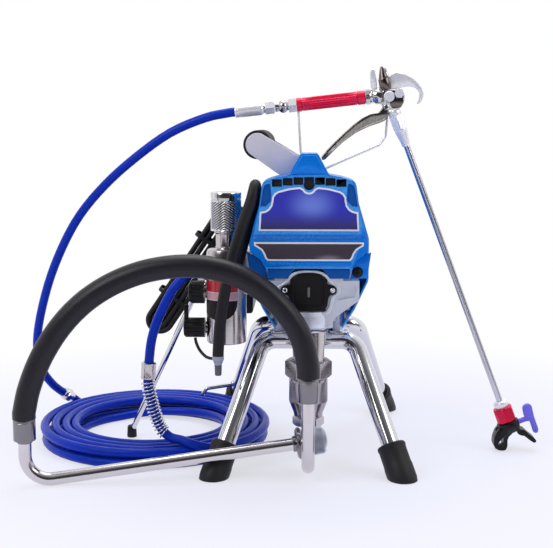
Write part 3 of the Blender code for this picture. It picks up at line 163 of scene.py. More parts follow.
def smooth(route, per_span):
    """Points along a curve through every point of the route."""
    route = [Vector(point) for point in route]
    ends = [2 * route[0] - route[1], *route, 2 * route[-1] - route[-2]]
    points = []
    for a, b, c, d in zip(ends, ends[1:], ends[2:], ends[3:]):
        for step in range(per_span):
            t = step / per_span
            points.append(0.5 * ((2 * b) + (c - a) * t + (2 * a - 5 * b + 4 * c - d) * t * t +
                                 (3 * b - a - 3 * c + d) * t * t * t))
    return [*points, route[-1]]


def squared(route, first_way, last_way, straight, per_span=4):
    """The route with a short straight run at each end, as the hose leaves its fittings."""
    start, end = Vector(route[0]), Vector(route[-1])
    after = start + Vector(first_way).normalized() * straight
    before = end - Vector(last_way).normalized() * straight
    return [start, *smooth([after, *route[1:-1], before], per_span), end]


def hose(name, points, radius, around=6):
    """A round cord that follows its points, kept as a curve."""
    line = bpy.data.curves.new(name, "CURVE")
    line.dimensions = "3D"
    line.bevel_depth = radius
    line.bevel_resolution = around
    line.use_fill_caps = True
    spline = line.splines.new("POLY")
    spline.points.add(len(points) - 1)
    for point, place in zip(spline.points, points):
        point.co = (*place, 1.0)
    spline.use_smooth = True
    piece = bpy.data.objects.new(name, line)
    scene.collection.objects.link(piece)
    return piece


def coil_line(per_loop=48):
    """Inwards on the upper layer, outwards again on the floor."""
    pitch, turns_in_all, start = 0.0149, 8 + 165 / 360, math.radians(-45)
    low = HOSE_R + 0.0002
    count = round(turns_in_all * per_loop)
    points = []
    for step in range(count + 1):
        turns = turns_in_all * step / count
        fallen = min(1.0, max(0.0, 2 * turns - turns_in_all + 0.5))
        angle = start + 2 * math.pi * turns
        sway = 0.0007 * math.sin(2.3 * angle)
        radius = 0.1695 - pitch * min(turns, turns_in_all - turns) + sway
        lift = 0.0136 + 0.0034 * (1 + math.sin(angle - 0.4))
        points.append(Vector((-0.2320 + radius * math.cos(angle), 0.012 + radius * math.sin(angle),
                              low + lift * (1 - fallen))))
    return points


riser_route = mm((-158.3, -112, 264), (-176, -114.5, 253.5), (-188, -116.5, 237.5), (-204, -119, 205.6),
                 (-214.1, -120, 175), (-218.5, -120, 141.5), (-220.2, -120, 113.5), (-217.7, -120, 96.6),
                 (-212.2, -120, 73.5), (-204, -120, 51.5), (-191, -121.7, 38.2), (-173, -126.2, 34.5),
                 (-156.5, -130, 29.5))
tail_route = mm((-337, 151.8, 7), (-351, 140, 10), (-362, 130, 17), (-369.2, 121.5, 25.8))
coupling_ends = (Vector((-0.3768, 0.1130, 0.0345)), Vector((-0.3878, 0.1010, 0.0455)))
coupling_way = (coupling_ends[1] - coupling_ends[0]).normalized()
whip_route = mm((-387.8, 101, 45.5), (-401.8, 87, 62.5), (-413, 75.5, 85), (-418, 64, 118.1), (-410.8, 48, 162.9),
                (-390.6, 30, 227.2), (-364.5, 14, 284.8), (-333.7, 0, 334.8), (-293.9, -12, 379.2),
                (-248.3, -22, 418.2), (-196.7, -31, 453.7), (-146.4, -37.5, 474.6), (-104.3, -40, 482.9))
handle_way = Vector((0.0952, 0.0, 0.0106)).normalized()  # along the gun's handle, towards its body

coil = coil_line()
run_in = coil[0] - (coil[1] - coil[0]).normalized() * 2 * HOSE_R
riser = squared([*riser_route, run_in], (-1, 0, 0), coil[0] - run_in, HOSE_R)
tail = squared([coil[-1], *tail_route, coupling_ends[0]], coil[-1] - coil[-2], coupling_way, HOSE_R)
paint_hose_line = [*riser, *coil, *tail[1:]]
whip_line = squared(whip_route, coupling_way, handle_way, HOSE_R)


def new_group(name, inputs, outputs):
    """A shader node group with named sockets."""
    group = bpy.data.node_groups.new(name, "ShaderNodeTree")
    for socket, kind, value in inputs:
        made = group.interface.new_socket(socket, in_out="INPUT", socket_type="NodeSocket" + kind)
        if kind != "Vector":
            made.default_value = value
    for socket, kind in outputs:
        group.interface.new_socket(socket, in_out="OUTPUT", socket_type="NodeSocket" + kind)
    return group, group.nodes.new("NodeGroupInput"), group.nodes.new("NodeGroupOutput")


# Handling marks: broad smudges and fine grain, drawn out along a direction.
marks, marks_in, marks_out = new_group("handling_marks",
                                       [("Grain Size", "Float", 900.0), ("Draw Out", "Vector", None),
                                        ("Smudge", "Float", 0.08), ("Grain", "Float", 0.05)],
                                       [("Roughness", "Float"), ("Height", "Float"), ("Mask", "Float")])
place = add(marks, "ShaderNodeTexCoord").outputs["Object"]
drawn = add(marks, "ShaderNodeVectorMath", (0, place), (1, marks_in.outputs["Draw Out"]), operation="MULTIPLY")
grain = add(marks, "ShaderNodeTexNoise", ("Vector", drawn.outputs[0]), ("Scale", marks_in.outputs["Grain Size"]),
            Detail=4.0, Roughness=0.6)
smudges = add(marks, "ShaderNodeTexNoise", ("Vector", place), Scale=28.0, Detail=5.0, Roughness=0.62)
smudge_centre = add(marks, "ShaderNodeMath", (0, smudges.outputs["Fac"]), operation="SUBTRACT", by=0.5)
grain_centre = add(marks, "ShaderNodeMath", (0, grain.outputs["Fac"]), operation="SUBTRACT", by=0.5)
grain_part = add(marks, "ShaderNodeMath", (0, grain_centre.outputs[0]), (1, marks_in.outputs["Grain"]),
                 operation="MULTIPLY")
smudge_part = add(marks, "ShaderNodeMath", (0, smudge_centre.outputs[0]), (1, marks_in.outputs["Smudge"]),
                  (2, grain_part.outputs[0]), operation="MULTIPLY_ADD")
marks.links.new(smudge_part.outputs[0], marks_out.inputs["Roughness"])
marks.links.new(grain.outputs["Fac"], marks_out.inputs["Height"])
marks.links.new(smudges.outputs["Fac"], marks_out.inputs["Mask"])

# Edge wear and painted edge highlight: the corners of a piece, broken up by fine noise, take a lighter colour.
edges, edges_in, edges_out = new_group("rubbed_and_lit_edges", [("Sharpness", "Float", 0.56)], [("Mask", "Float")])
shape = add(edges, "ShaderNodeNewGeometry")
edge_place = add(edges, "ShaderNodeTexCoord")
edge_noise = add(edges, "ShaderNodeTexNoise", ("Vector", edge_place.outputs["Object"]), Scale=260.0, Detail=3.0)
edge_step = add(edges, "ShaderNodeMapRange", ("Value", shape.outputs["Pointiness"]),
                ("From Min", edges_in.outputs["Sharpness"]), interpolation_type="SMOOTHSTEP", From_Max=0.68)
edge_mask = add(edges, "ShaderNodeMath", (0, edge_step.outputs[0]), (1, edge_noise.outputs["Fac"]),
                operation="MULTIPLY")
edges.links.new(edge_mask.outputs[0], edges_out.inputs["Mask"])

usual_slot = {}


def finish(name, colour, roughness, metallic=0.0, second=None, edge_wear_and_highlight=None, grain=900.0, draw_out=(1, 1, 1),
           smudge=0.08, fine=0.05, bump=0.02, coat=0.0, specular=0.5, slot=None):
    """A material with handling marks in its gloss, a second tone in its colour and a lighter colour on its edges,
    which is partly edge wear and partly a painted highlight. The slot given here is noted under its name."""
    made = bpy.data.materials.new(name)
    made.use_nodes = True
    usual_slot[made.name] = slot
    tree = made.node_tree
    shader = tree.nodes["Principled BSDF"]
    for entry, value in (("Metallic", metallic), ("Coat Weight", coat), ("Coat Roughness", 0.06),
                         ("Specular IOR Level", specular)):
        shader.inputs[entry].default_value = value
    worn = add(tree, "ShaderNodeGroup", node_tree=marks, Grain_Size=grain, Draw_Out=draw_out, Smudge=smudge,
               Grain=fine)
    gloss = add(tree, "ShaderNodeMath", (0, worn.outputs["Roughness"]), operation="ADD", use_clamp=True, by=roughness)
    tree.links.new(gloss.outputs[0], shader.inputs["Roughness"])
    second = second or [0.86 * part for part in colour]
    tones = add(tree, "ShaderNodeMix", ("Factor", worn.outputs["Mask"]), data_type="RGBA", A=(*colour, 1.0),
                B=(*second, 1.0))
    if edge_wear_and_highlight is not None:
        # The lighter edge colour is partly edge wear and partly a painted highlight.
        corner = add(tree, "ShaderNodeGroup", node_tree=edges)
        tones = add(tree, "ShaderNodeMix", ("Factor", corner.outputs["Mask"]), ("A", tones.outputs["Result"]),
                    data_type="RGBA", B=(*edge_wear_and_highlight, 1.0))
    tree.links.new(tones.outputs["Result"], shader.inputs["Base Color"])
    relief = add(tree, "ShaderNodeBump", ("Height", worn.outputs["Height"]), Strength=bump, Distance=0.001)
    tree.links.new(relief.outputs[0], shader.inputs["Normal"])
    return made


hose_blue = finish("hose_blue", (0.0, 0.034, 0.48), 0.32, second=(0.0, 0.022, 0.38), grain=420.0, smudge=0.10,
                   fine=0.06, bump=0.05, specular=0.17, slot="blue_hose")


def settle(piece, look, *stands_for, body="machine", slot=None):
    """Moves a finished piece from the machine's middle to its place, gives it its material and its body, and hides the
    CAD nodes it stands for."""
    slot = slot or usual_slot[look.name]
    piece.data.transform(Matrix.Translation(MIDDLE) @ piece.matrix_world)
    piece.matrix_world = Matrix.Identity(4)
    piece.data.materials.clear()
    piece.data.materials.append(look)
    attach(piece, body)
    if stands_for:
        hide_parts(*stands_for)
    return piece


paint_hose = settle(hose("paint_hose", paint_hose_line, HOSE_R), hose_blue, "hose_riser", "hose_coil")
whip_hose = settle(hose("whip_hose", whip_line, HOSE_R), hose_blue, "hose_whip")

# ------------------------------------------------------------------ drain hose and power cord
# The drain hose is 15 mm black rubber that loops over and hangs beside the filter. The power cord is a 7.5 mm rubber
# cable, 3.9 m long: it leaves the control box, is folded into a hank that hangs at the machine's side, and ends in
# its plug behind the filter.

drain_route = mm((-96.5, -134.5, 270.5), (-94, -134.5, 285), (-87, -135.5, 310), (-79.5, -136, 340), (-73, -137, 364),
                 (-70.5, -141, 380), (-70.5, -149, 386.8), (-72.2, -157, 380), (-76.5, -161, 364), (-88.5, -161, 330),
                 (-102, -160, 285), (-111.8, -158, 240), (-117.8, -156, 200), (-120.5, -155, 159.6))
DRAIN_R = 0.0076
drain_line = squared(drain_route, (0, 0, 1), (0, 0, -1), DRAIN_R / 2)

rubber = finish("black_rubber", (0.010, 0.009, 0.011), 0.50, second=(0.018, 0.016, 0.019), grain=1400.0, smudge=0.16,
                fine=0.12, bump=0.10, specular=0.26, slot="black_rubber")
drain_hose = settle(hose("drain_hose_rubber", drain_line, DRAIN_R), rubber, "drain_hose")

CORD_R = 0.00375
HANK_TURNS, HANK_LAYERS, HANK_HALF = 8, 4, 0.088
hank_middle, hank_along = Vector((-0.1665, -0.020, 0.260)), Vector((-0.5557, 0.0, -0.8314))
hank_across = hank_along.cross(Vector((0, 1, 0))).normalized()
lead_route = mm((-140.3, 30, 225), (-152, 30, 223.5), (-164, 24, 218.5), (-168.5, 11, 219), (-165, -3, 227))
cord_tail = mm((-135, -40, 270), (-120, -50, 290), (-108.5, -53.5, 308))
plug_ends = (Vector((-0.1070, -0.0537, 0.3183)), Vector((-0.1050, -0.0537, 0.3520)))
plug_way = (plug_ends[1] - plug_ends[0]).normalized()


def long_loop(share, radius, end_share=0.375):
    """A place on a folded loop: half a run, a round end, a run, the other end, half a run."""
    quarter = (0.5 - end_share) / 2
    if share < quarter:
        return -HANK_HALF * share / quarter, radius
    if share < quarter + end_share:
        angle = math.pi * (share - quarter) / end_share
        return -HANK_HALF - radius * math.sin(angle), radius * math.cos(angle)
    if share < 3 * quarter + end_share:
        return HANK_HALF * ((share - quarter - end_share) / quarter - 1), -radius
    if share < 3 * quarter + 2 * end_share:
        angle = math.pi * (share - 3 * quarter - end_share) / end_share
        return HANK_HALF + radius * math.sin(angle), -radius * math.cos(angle)
    return HANK_HALF * (1 - share) / quarter, radius


def hank_line(per_loop=48):
    """Layers of two loops that spiral in and out by turns."""
    per_layer, step_size = HANK_TURNS / HANK_LAYERS, 0.0081
    points = []
    for step in range(HANK_TURNS * per_loop + 1):
        turns = step / per_loop
        layer, within = divmod(turns, per_layer)
        inward = within if layer % 2 == 0 else per_layer - within
        if turns == HANK_TURNS:
            layer, inward = HANK_LAYERS - 1, 0.0
        along, side = long_loop((step % per_loop) / per_loop, 0.019 - step_size * inward)
        depth = sum(min(1.0, max(0.0, 2 * (turns - change * per_layer) + 0.5)) for change in range(1, HANK_LAYERS))
        back = ((HANK_LAYERS - 1) / 2 - depth) * step_size
        points.append(hank_middle + hank_along * along + hank_across * side + Vector((0, back, 0)))
    return points


hank = hank_line()
hank_start = hank[0] + hank_along * 2 * CORD_R
lead = squared([*lead_route, hank_start], (-1, 0, 0), -hank_along, CORD_R)
cord_end = squared([hank[-1] - hank_along * 2 * CORD_R, *cord_tail, plug_ends[0]], -hank_along, plug_way, CORD_R)
power_cord_line = [*lead, *hank, *cord_end]
power_cord = settle(hose("power_cord", power_cord_line, CORD_R, 4), rubber, "cord_lead", "cord_hank")

# ------------------------------------------------------------------ stand
# Two bent steel tubes of 25 mm, chromed, cross under the machine and splay out as its four legs. Each leg wears a
# moulded rubber cap. A hook rod is welded to the rear tube, and a thin stay stands at the left on its own tip.


def alone(*chosen):
    """Only these are selected, and the first is active."""
    bpy.ops.object.select_all(action="DESELECT")
    for piece in chosen:
        piece.select_set(True)
    bpy.context.view_layer.objects.active = chosen[0]
    return chosen[0]


def bent(corners, radius, steps=14):
    """Straight runs with an arc of this radius at each corner."""
    corners = [Vector(corner) for corner in corners]
    points = [corners[0]]
    for before, corner, after in zip(corners, corners[1:], corners[2:]):
        back, ahead = (before - corner).normalized(), (after - corner).normalized()
        half = back.angle(ahead) / 2
        centre = corner + (back + ahead).normalized() * (radius / math.sin(half))
        first = corner + back * (radius / math.tan(half)) - centre
        last = corner + ahead * (radius / math.tan(half)) - centre
        points += [centre + radius * first.slerp(last, step / steps) for step in range(steps + 1)]
    return [*points, corners[-1]]


def bar(name, points, radius, around=10):
    """A round bar or tube along its points, as a mesh."""
    piece = alone(hose(name, points, radius, around))
    bpy.ops.object.convert(target="MESH")
    piece = bpy.context.object
    bpy.ops.object.mode_set(mode="EDIT")
    bpy.ops.mesh.select_all(action="SELECT")
    bpy.ops.mesh.remove_doubles(threshold=0.00001)
    bpy.ops.mesh.normals_make_consistent(inside=False)
    bpy.ops.object.mode_set(mode="OBJECT")
    return smoothed(piece)


def smoothed(piece, angle=32):
    alone(piece)
    bpy.ops.object.shade_smooth_by_angle(angle=math.radians(angle))
    return piece


def stood(piece, foot, way):
    """Stands a piece made along Z at its foot, along its way."""
    turn = Vector(way).to_track_quat("Z", "Y").to_matrix().to_4x4()
    piece.data.transform(Matrix.Translation(Vector(foot)) @ turn)
    return piece


def turned(name, rings, foot=(0, 0, 0), way=(0, 0, 1), sides=48):
    """A turned piece: a disc extruded through its rings of (radius, height), then stood along its axis."""
    bpy.ops.object.select_all(action="DESELECT")
    bpy.ops.mesh.primitive_circle_add(vertices=sides, radius=rings[0][0], fill_type="NGON")
    piece = bpy.context.object
    piece.name = name
    bpy.ops.object.mode_set(mode="EDIT")
    bpy.ops.transform.translate(value=(0, 0, rings[0][1]))
    for (near_radius, near), (far_radius, far) in zip(rings, rings[1:]):
        bpy.ops.mesh.extrude_region_move(TRANSFORM_OT_translate={"value": (0, 0, far - near)})
        share = far_radius / near_radius
        bpy.ops.transform.resize(value=(share, share, 1), center_override=(0, 0, far))
    bpy.ops.mesh.select_all(action="SELECT")
    bpy.ops.mesh.normals_make_consistent(inside=False)
    bpy.ops.object.mode_set(mode="OBJECT")
    return smoothed(stood(piece, foot, way))


def softened(piece, width, segments=2, angle=28):
    """Its sharp edges are rounded over."""
    alone(piece)
    edge = piece.modifiers.new("edge", "BEVEL")
    edge.width = width
    edge.segments = segments
    edge.limit_method = "ANGLE"
    edge.angle_limit = math.radians(angle)
    edge.miter_outer = "MITER_ARC"
    bpy.ops.object.modifier_apply(modifier="edge")
    return smoothed(piece)


def worked(piece, tool, operation="DIFFERENCE"):
    """Cuts the tool out of the piece, or joins it on."""
    alone(piece)
    step = piece.modifiers.new("work", "BOOLEAN")
    step.operation = operation
    step.object = tool
    step.solver = "EXACT"
    bpy.ops.object.modifier_apply(modifier="work")
    bpy.data.objects.remove(tool)
    return smoothed(piece)


chrome = finish("chrome_plate", (0.73, 0.73, 0.77), 0.08, 1.0, second=(0.63, 0.63, 0.68), grain=260.0,
                draw_out=(1, 1, 0.15), smudge=0.05, fine=0.03, bump=0.008, slot="chrome")
TUBE_R, CROSS_Z, FRONT_TUBE_Y, POST_X = 0.0127, 0.168, -0.083, 0.0415


def foot_of(side, front):
    return Vector((side * 0.1255, -0.185 if front else 0.185, 0.0))


def shoulder_of(side, front):
    across, depth = (0.0640, FRONT_TUBE_Y) if front else (0.0725, 0.0500)
    return Vector((side * across, depth, CROSS_Z))


def leg_end(side, front):
    return foot_of(side, front).lerp(shoulder_of(side, front), (0.010 + TUBE_R) / CROSS_Z)


for name, node, front in (("front_tube", "front_frame", True), ("rear_tube", "rear_frame", False)):
    corners = [leg_end(-1, front), shoulder_of(-1, front), shoulder_of(1, front), leg_end(1, front)]
    settle(bar(name, bent(corners, 0.025), TUBE_R), chrome, node)

HANDS = (("left", -1), ("right", 1))
for row, front in (("front", True), ("rear", False)):
    for hand, side in HANDS:
        way = (shoulder_of(side, front) - foot_of(side, front)).normalized()
        cap = turned(f"rubber_foot_{row}_{hand}", mm((6, -15.5), (10.5, -15), (15, -12.5), (18, -7.5), (19.4, 0),
                                                     (19.4, 18), (19, 20), (18.7, 24), (18.7, 43), (19.4, 45),
                                                     (19.4, 48), (18.4, 49.4), (13.4, 49.4), (13, 47)),
                     foot_of(side, front), way)
        alone(cap)
        bpy.ops.object.mode_set(mode="EDIT")
        bpy.ops.mesh.select_all(action="SELECT")
        bpy.ops.mesh.bisect(plane_co=(0, 0, 0.0004), plane_no=(0, 0, -1), use_fill=True, clear_outer=True)
        bpy.ops.object.mode_set(mode="OBJECT")
        settle(softened(cap, 0.0008), rubber, f"foot_cap_{row}_{hand}")

hook_root = foot_of(-1, False).lerp(shoulder_of(-1, False), 0.31)
hook_tip = hook_root + Vector((-0.055, 0.0, -0.009))
hook = [hook_root, hook_tip, hook_tip + Vector((-0.006, 0.0, -0.008)), hook_tip + Vector((-0.004, 0.0, -0.016))]
settle(bar("hook_rod", bent(hook, 0.0045, 6), 0.0032), chrome)
settle(turned("hook_weld", mm((5.2, 0), (5, 1.2), (3.8, 2.8), (3.3, 4)), hook_root + Vector((-0.0118, 0, 0)),
              (-1, 0, 0), 28), chrome)

stay_foot = Vector((-0.2645, 0.008, 0.010))
stay = bar("side_stay_rod", bent([(-0.0668, -0.066, 0.245), (-0.152, -0.066, 0.245), stay_foot], 0.012, 8), 0.0040)
settle(stay, chrome, "side_stay")
settle(turned("stay_tip", mm((5, 0.4), (7, 1.2), (7.2, 4), (6.6, 15), (5.8, 18), (4.3, 18.8)),
              (stay_foot.x, stay_foot.y, 0.0), (0, 0, 1), 36), rubber)
for hand, side in HANDS:
    settle(turned(f"frame_washer_{hand}", mm((14.5, 0), (15, 0.6), (15, 2), (14.4, 2.6), (9, 3)),
                  (side * POST_X, FRONT_TUBE_Y, CROSS_Z + TUBE_R - 0.0004), (0, 0, 1)), chrome)

# ------------------------------------------------------------------ gear case and motor
# The gear case is a pressure die casting, bead blasted: it carries the pump at its nose, stands on the front tube and
# closes the gears in. Motor, rotor, gear, piston and ball are the CAD's own pieces, with looks from here. The rotor's
# fan shows through the slots of the rear shroud.

cast = finish("die_cast", (0.82, 0.86, 0.98), 0.42, 0.75, second=(0.72, 0.75, 0.87), edge_wear_and_highlight=(0.92, 0.92, 0.95),
              grain=1900.0, smudge=0.14, fine=0.16, bump=0.16, slot="cast_aluminium")
steel = finish("turned_steel", (0.60, 0.56, 0.59), 0.19, 1.0, second=(0.50, 0.465, 0.49), edge_wear_and_highlight=(0.80, 0.79, 0.80),
               grain=700.0, draw_out=(0.1, 0.1, 1.6), smudge=0.10, fine=0.14, bump=0.05, slot="stainless_steel")
dark_steel = finish("dark_steel", (0.16, 0.16, 0.17), 0.36, 1.0, second=(0.10, 0.10, 0.11), edge_wear_and_highlight=(0.5, 0.5, 0.5),
                    grain=600.0, smudge=0.14, fine=0.10, bump=0.04, slot="dark_steel")
winding = finish("copper_winding", (0.55, 0.26, 0.11), 0.30, 1.0, second=(0.38, 0.16, 0.06), grain=300.0,
                 draw_out=(1, 6, 1), smudge=0.10, fine=0.20, bump=0.25)
PUMP_Y = -0.135
PUMP_FOOT = (0, PUMP_Y, 0)


def copied(node, name):
    """A copy of a CAD node with its loose triangles merged and its flat faces whole, moved to the machine's middle."""
    piece = bpy.data.objects.new(name, nodes[node].data.copy())
    scene.collection.objects.link(piece)
    piece.data.transform(Matrix.Translation(-MIDDLE))
    for attribute in list(piece.data.attributes):
        if attribute.name == "custom_normal":
            piece.data.attributes.remove(attribute)
    alone(piece)
    bpy.ops.object.mode_set(mode="EDIT")
    bpy.ops.mesh.select_all(action="SELECT")
    bpy.ops.mesh.remove_doubles(threshold=0.00002)
    bpy.ops.mesh.dissolve_limited(angle_limit=math.radians(0.8))
    bpy.ops.object.mode_set(mode="OBJECT")
    return piece


def plate(name, outline, near, far, facing="Y"):
    """A flat piece: a disc whose rim is moved to the outline, then extruded to its thickness."""
    bpy.ops.object.select_all(action="DESELECT")
    bpy.ops.mesh.primitive_circle_add(vertices=len(outline), fill_type="NGON")
    piece = bpy.context.object
    piece.name = name
    for corner, (across, high) in zip(piece.data.vertices, outline):
        corner.co = (across, near, high) if facing == "Y" else (near, across, high)
    thick = (0, far - near, 0) if facing == "Y" else (far - near, 0, 0)
    bpy.ops.object.mode_set(mode="EDIT")
    bpy.ops.mesh.select_all(action="SELECT")
    bpy.ops.mesh.extrude_region_move(TRANSFORM_OT_translate={"value": thick})
    bpy.ops.mesh.select_all(action="SELECT")
    bpy.ops.mesh.normals_make_consistent(inside=False)
    bpy.ops.object.mode_set(mode="OBJECT")
    return piece


def eased(outline, radius, steps=5):
    """A flat outline with its corners rounded."""
    corners = [Vector(corner) for corner in outline]
    points = []
    for i, corner in enumerate(corners):
        before, after = corners[i - 1], corners[(i + 1) % len(corners)]
        reach = min(radius, 0.45 * (before - corner).length, 0.45 * (after - corner).length)
        start = corner + (before - corner).normalized() * reach
        end = corner + (after - corner).normalized() * reach
        for step in range(steps + 1):
            t = step / steps
            points.append(start * (1 - t) ** 2 + corner * 2 * t * (1 - t) + end * t * t)
    return [(point.x, point.y) for point in points]


def both_sides(half):
    """A closed outline from its right half, listed from the top down."""
    return half + [(-across, high) for across, high in reversed(half) if across > 0]


def block(name, low, high, edge=0.001, segments=2):
    """A cube scaled to its corners, with its edges rounded."""
    low, high = Vector(low), Vector(high)
    bpy.ops.object.select_all(action="DESELECT")
    bpy.ops.mesh.primitive_cube_add(size=1.0, location=(low + high) / 2)
    piece = bpy.context.object
    piece.name = name
    bpy.ops.object.mode_set(mode="EDIT")
    bpy.ops.transform.resize(value=tuple(high - low), center_override=tuple((low + high) / 2))
    bpy.ops.object.mode_set(mode="OBJECT")
    bpy.ops.object.transform_apply(location=True, rotation=True, scale=True)
    return softened(piece, edge, segments) if edge else piece


case = copied("gear_housing", "gear_case")
for side in (-1, 1):
    corner = sorted((side * 0.024, side * 0.060))
    case = worked(case, block(f"saddle_room_{side}", (corner[0], -0.110, 0.150), (corner[1], -0.056, 0.1985), 0))
    case = worked(case, plate(f"case_recess_{side}", eased([(side * 0.0625, 0.2405), (side * 0.0625, 0.2555),
                                                            (side * 0.0375, 0.2360)], 0.002), -0.170, -0.156))
case = softened(case, 0.0012, 3)
settle(case, cast, "gear_housing")
door_arch = both_sides(mm((8, 276.2), (18.5, 274), (26.8, 268), (31.8, 259), (42, 254.5), (42, 245), (34.5, 241.5),
                          (30, 223), (25.5, 217)))
rim = plate("case_door_rim", eased(door_arch, 0.006), -0.1625, -0.1585)
inner = [(across * 0.865, 0.2480 + (high - 0.2480) * 0.865) for across, high in door_arch]
rim = worked(rim, plate("rim_room", eased(inner, 0.005), -0.1700, -0.1500))
settle(softened(rim, 0.0009, 3), cast)
for hand, side in HANDS:
    settle(turned(f"case_post_{hand}", [(0.0082, CROSS_Z + 0.0148), (0.0080, CROSS_Z + 0.0156),
                                        *mm((8, 208), (10, 213), (10, 220))], (side * POST_X, FRONT_TUBE_Y, 0.0)),
           cast)
    settle(softened(block(f"case_foot_{hand}", (side * POST_X - 0.0165, -0.100, 0.2120),
                          (side * POST_X + 0.0165, -0.064, 0.2290), 0.003), 0.0005), cast)
collar = turned("pump_collar", mm((23.5, 196), (29, 196.6), (32.2, 199), (33, 203), (33, 212), (31.8, 216.5)),
                PUMP_FOOT, sides=64)
settle(collar, cast)

for node, look in (("motor_body", dark_steel), ("motor_rotor", winding), ("crank_gear", dark_steel),
                   ("piston_rod", chrome), ("inlet_ball", steel)):
    for slot_number in range(len(nodes[node].material_slots)):
        nodes[node].material_slots[slot_number].material = look

# ------------------------------------------------------------------ front cover
# A moulded azure cover of 3 mm with a hump on top, a row of seven vents, sunk corners beside the upper plate, two
# ridges between the plates and a skirt that stands back. It has a tab on each side: the right one takes a screw.
# The skirt, the floors of the sunk corners and the left tab are a darker blue, which is painted shade, and a black
# sheet behind the vents paints the shade inside them.

# Its lighter edge colour paints highlights along the cover's edges and ridges.
azure = finish("azure_paint", (0.0, 0.215, 0.78), 0.28, 0.20, second=(0.0, 0.185, 0.70), edge_wear_and_highlight=(0.10, 0.46, 0.90),
               grain=360.0, smudge=0.08, fine=0.05, bump=0.03, coat=0.12, specular=0.2, slot="blue_paint")
# A darker blue for painted shade on the cover.
shade_blue = finish("shaded_blue", (0.0, 0.092, 0.37), 0.34, 0.0, second=(0.0, 0.074, 0.31), grain=500.0, smudge=0.10,
              fine=0.06, bump=0.04, specular=0.2, slot="blue_paint")
# Black for the painted shade behind the vents.
vent_shade_black = finish("vent_painted_shade", (0.006, 0.006, 0.008), 0.62, second=(0.010, 0.010, 0.012), grain=700.0,
                    slot="black_plastic")
COVER_FRONT, COVER_BACK, COVER_WALL = -0.166, -0.1098, 0.003
AHEAD, BEHIND = -0.175, -0.150  # of the cover's face, for what cuts through it
cover_half = mm((10, 428.6), (11.8, 427.2), (25.5, 402), (26.8, 400.8), (43, 398), (56, 394), (59.6, 391.5),
                (61.4, 387), (65.5, 358), (73.5, 325), (77.5, 313), (78, 308), (77, 301), (71.2, 295.5), (63, 290),
                (57.2, 280), (54.5, 274.5))


def offset(outline, way):
    """The outline moved outwards by this much, square to each of its corners."""
    moved = []
    for i, corner in enumerate(outline):
        here = Vector(corner)
        first = (here - Vector(outline[i - 1])).normalized()
        second = (Vector(outline[(i + 1) % len(outline)]) - here).normalized()
        normals = [Vector((-first.y, first.x)), Vector((-second.y, second.x))]
        middle = (normals[0] + normals[1]).normalized()
        moved.append(here + middle * (way / max(0.4, middle.dot(normals[0]))))
    return [(point.x, point.y) for point in moved]


def vent_top(across):
    return 0.3985 - 1.6 * across * across


shell = plate("front_cover_shell", both_sides(cover_half), COVER_FRONT, COVER_BACK)
shell = softened(shell, 0.0022, 4, 20)
shell = worked(shell, plate("shell_hollow", offset(both_sides(cover_half), -COVER_WALL), COVER_FRONT + COVER_WALL,
                            -0.090))
for hand, side in HANDS:
    corner = [(side * across, high) for across, high in mm((50, 390.2), (57.2, 388.6), (59.4, 386), (61.2, 378),
                                                           (64, 359.4), (55.6, 359.6), (48.8, 366.8), (48.6, 376))]
    shell = worked(shell, plate(f"sunk_corner_{side}", eased(corner, 0.002), AHEAD, COVER_FRONT + 0.0022))
    # Each sunk corner gets a thin floor of the darker blue: painted shade in the recess.
    corner_shade = plate(f"corner_shade_floor_{hand}", eased(offset(corner[::side], -0.0009), 0.0015),
                            COVER_FRONT + 0.0018, COVER_FRONT + 0.0026)
    settle(softened(corner_shade, 0.0002), shade_blue)
band = [(-0.0500, 0.3850)] + [(across / 1000, vent_top(across / 1000) + 0.0010)
                              for across in range(-50, 51, 5)] + [(0.0500, 0.3850)]
band += [(across / 1000, vent_top(across / 1000) - 0.0112) for across in range(45, -50, -5)]
shell = worked(shell, plate("vent_band", band, AHEAD, COVER_FRONT + 0.0008))
for cell in range(7):
    across = (cell - 3) * 0.0139
    shell = worked(shell, block(f"vent_room_{cell}", (across - 0.0065, AHEAD, vent_top(across) - 0.0102),
                                (across + 0.0065, BEHIND, vent_top(across) - 0.0004), 0))
shell = worked(shell, turned("vent_notch", [(0.0072, AHEAD), (0.0072, BEHIND)], (0, 0, 0.3882), (0, 1, 0), 40))
shell = worked(shell, block("skirt_room", (-0.0535, AHEAD, 0.2600), (0.0535, BEHIND, 0.2787), 0))
shell = worked(shell, block("yoke_room", (-0.0400, -0.160, 0.2600), (0.0400, -0.100, 0.2787), 0))
settle(softened(shell, 0.0005, 2, 40), azure, "front_cover")

# The skirt is the darker blue: painted shade below the sill.
skirt = plate("cover_skirt", both_sides(mm((56.2, 286), (53, 265))), -0.1630, -0.1606)
skirt = worked(skirt, turned("skirt_arch", [(0.0300, AHEAD), (0.0300, BEHIND)], (0, 0, 0.2525), (0, 1, 0), 48))
settle(softened(skirt, 0.0006), shade_blue)
for name, low, high, proud in (("ridge_upper", 0.3212, 0.3236, 0.0034), ("ridge_lower", 0.3150, 0.3180, 0.0028)):
    ridge = block(f"cover_{name}", (-0.0722, COVER_FRONT - proud, low), (0.0722, COVER_FRONT + 0.0005, high), 0.0011,
                  3)
    settle(ridge, azure)
sill = mm((-56, 286.2), (-54, 288), (54, 288), (56, 286.2), (54.5, 282.2), (-54.5, 282.2))
settle(softened(plate("cover_sill", sill, COVER_FRONT - 0.0016, COVER_FRONT + 0.0006), 0.0007), azure)
hump = both_sides(mm((9.2, 426.2), (23.4, 401.2), (15, 402.2)))
settle(softened(plate("hump_face", hump, COVER_FRONT - 0.0012, COVER_FRONT + 0.0004), 0.0010, 3), azure)
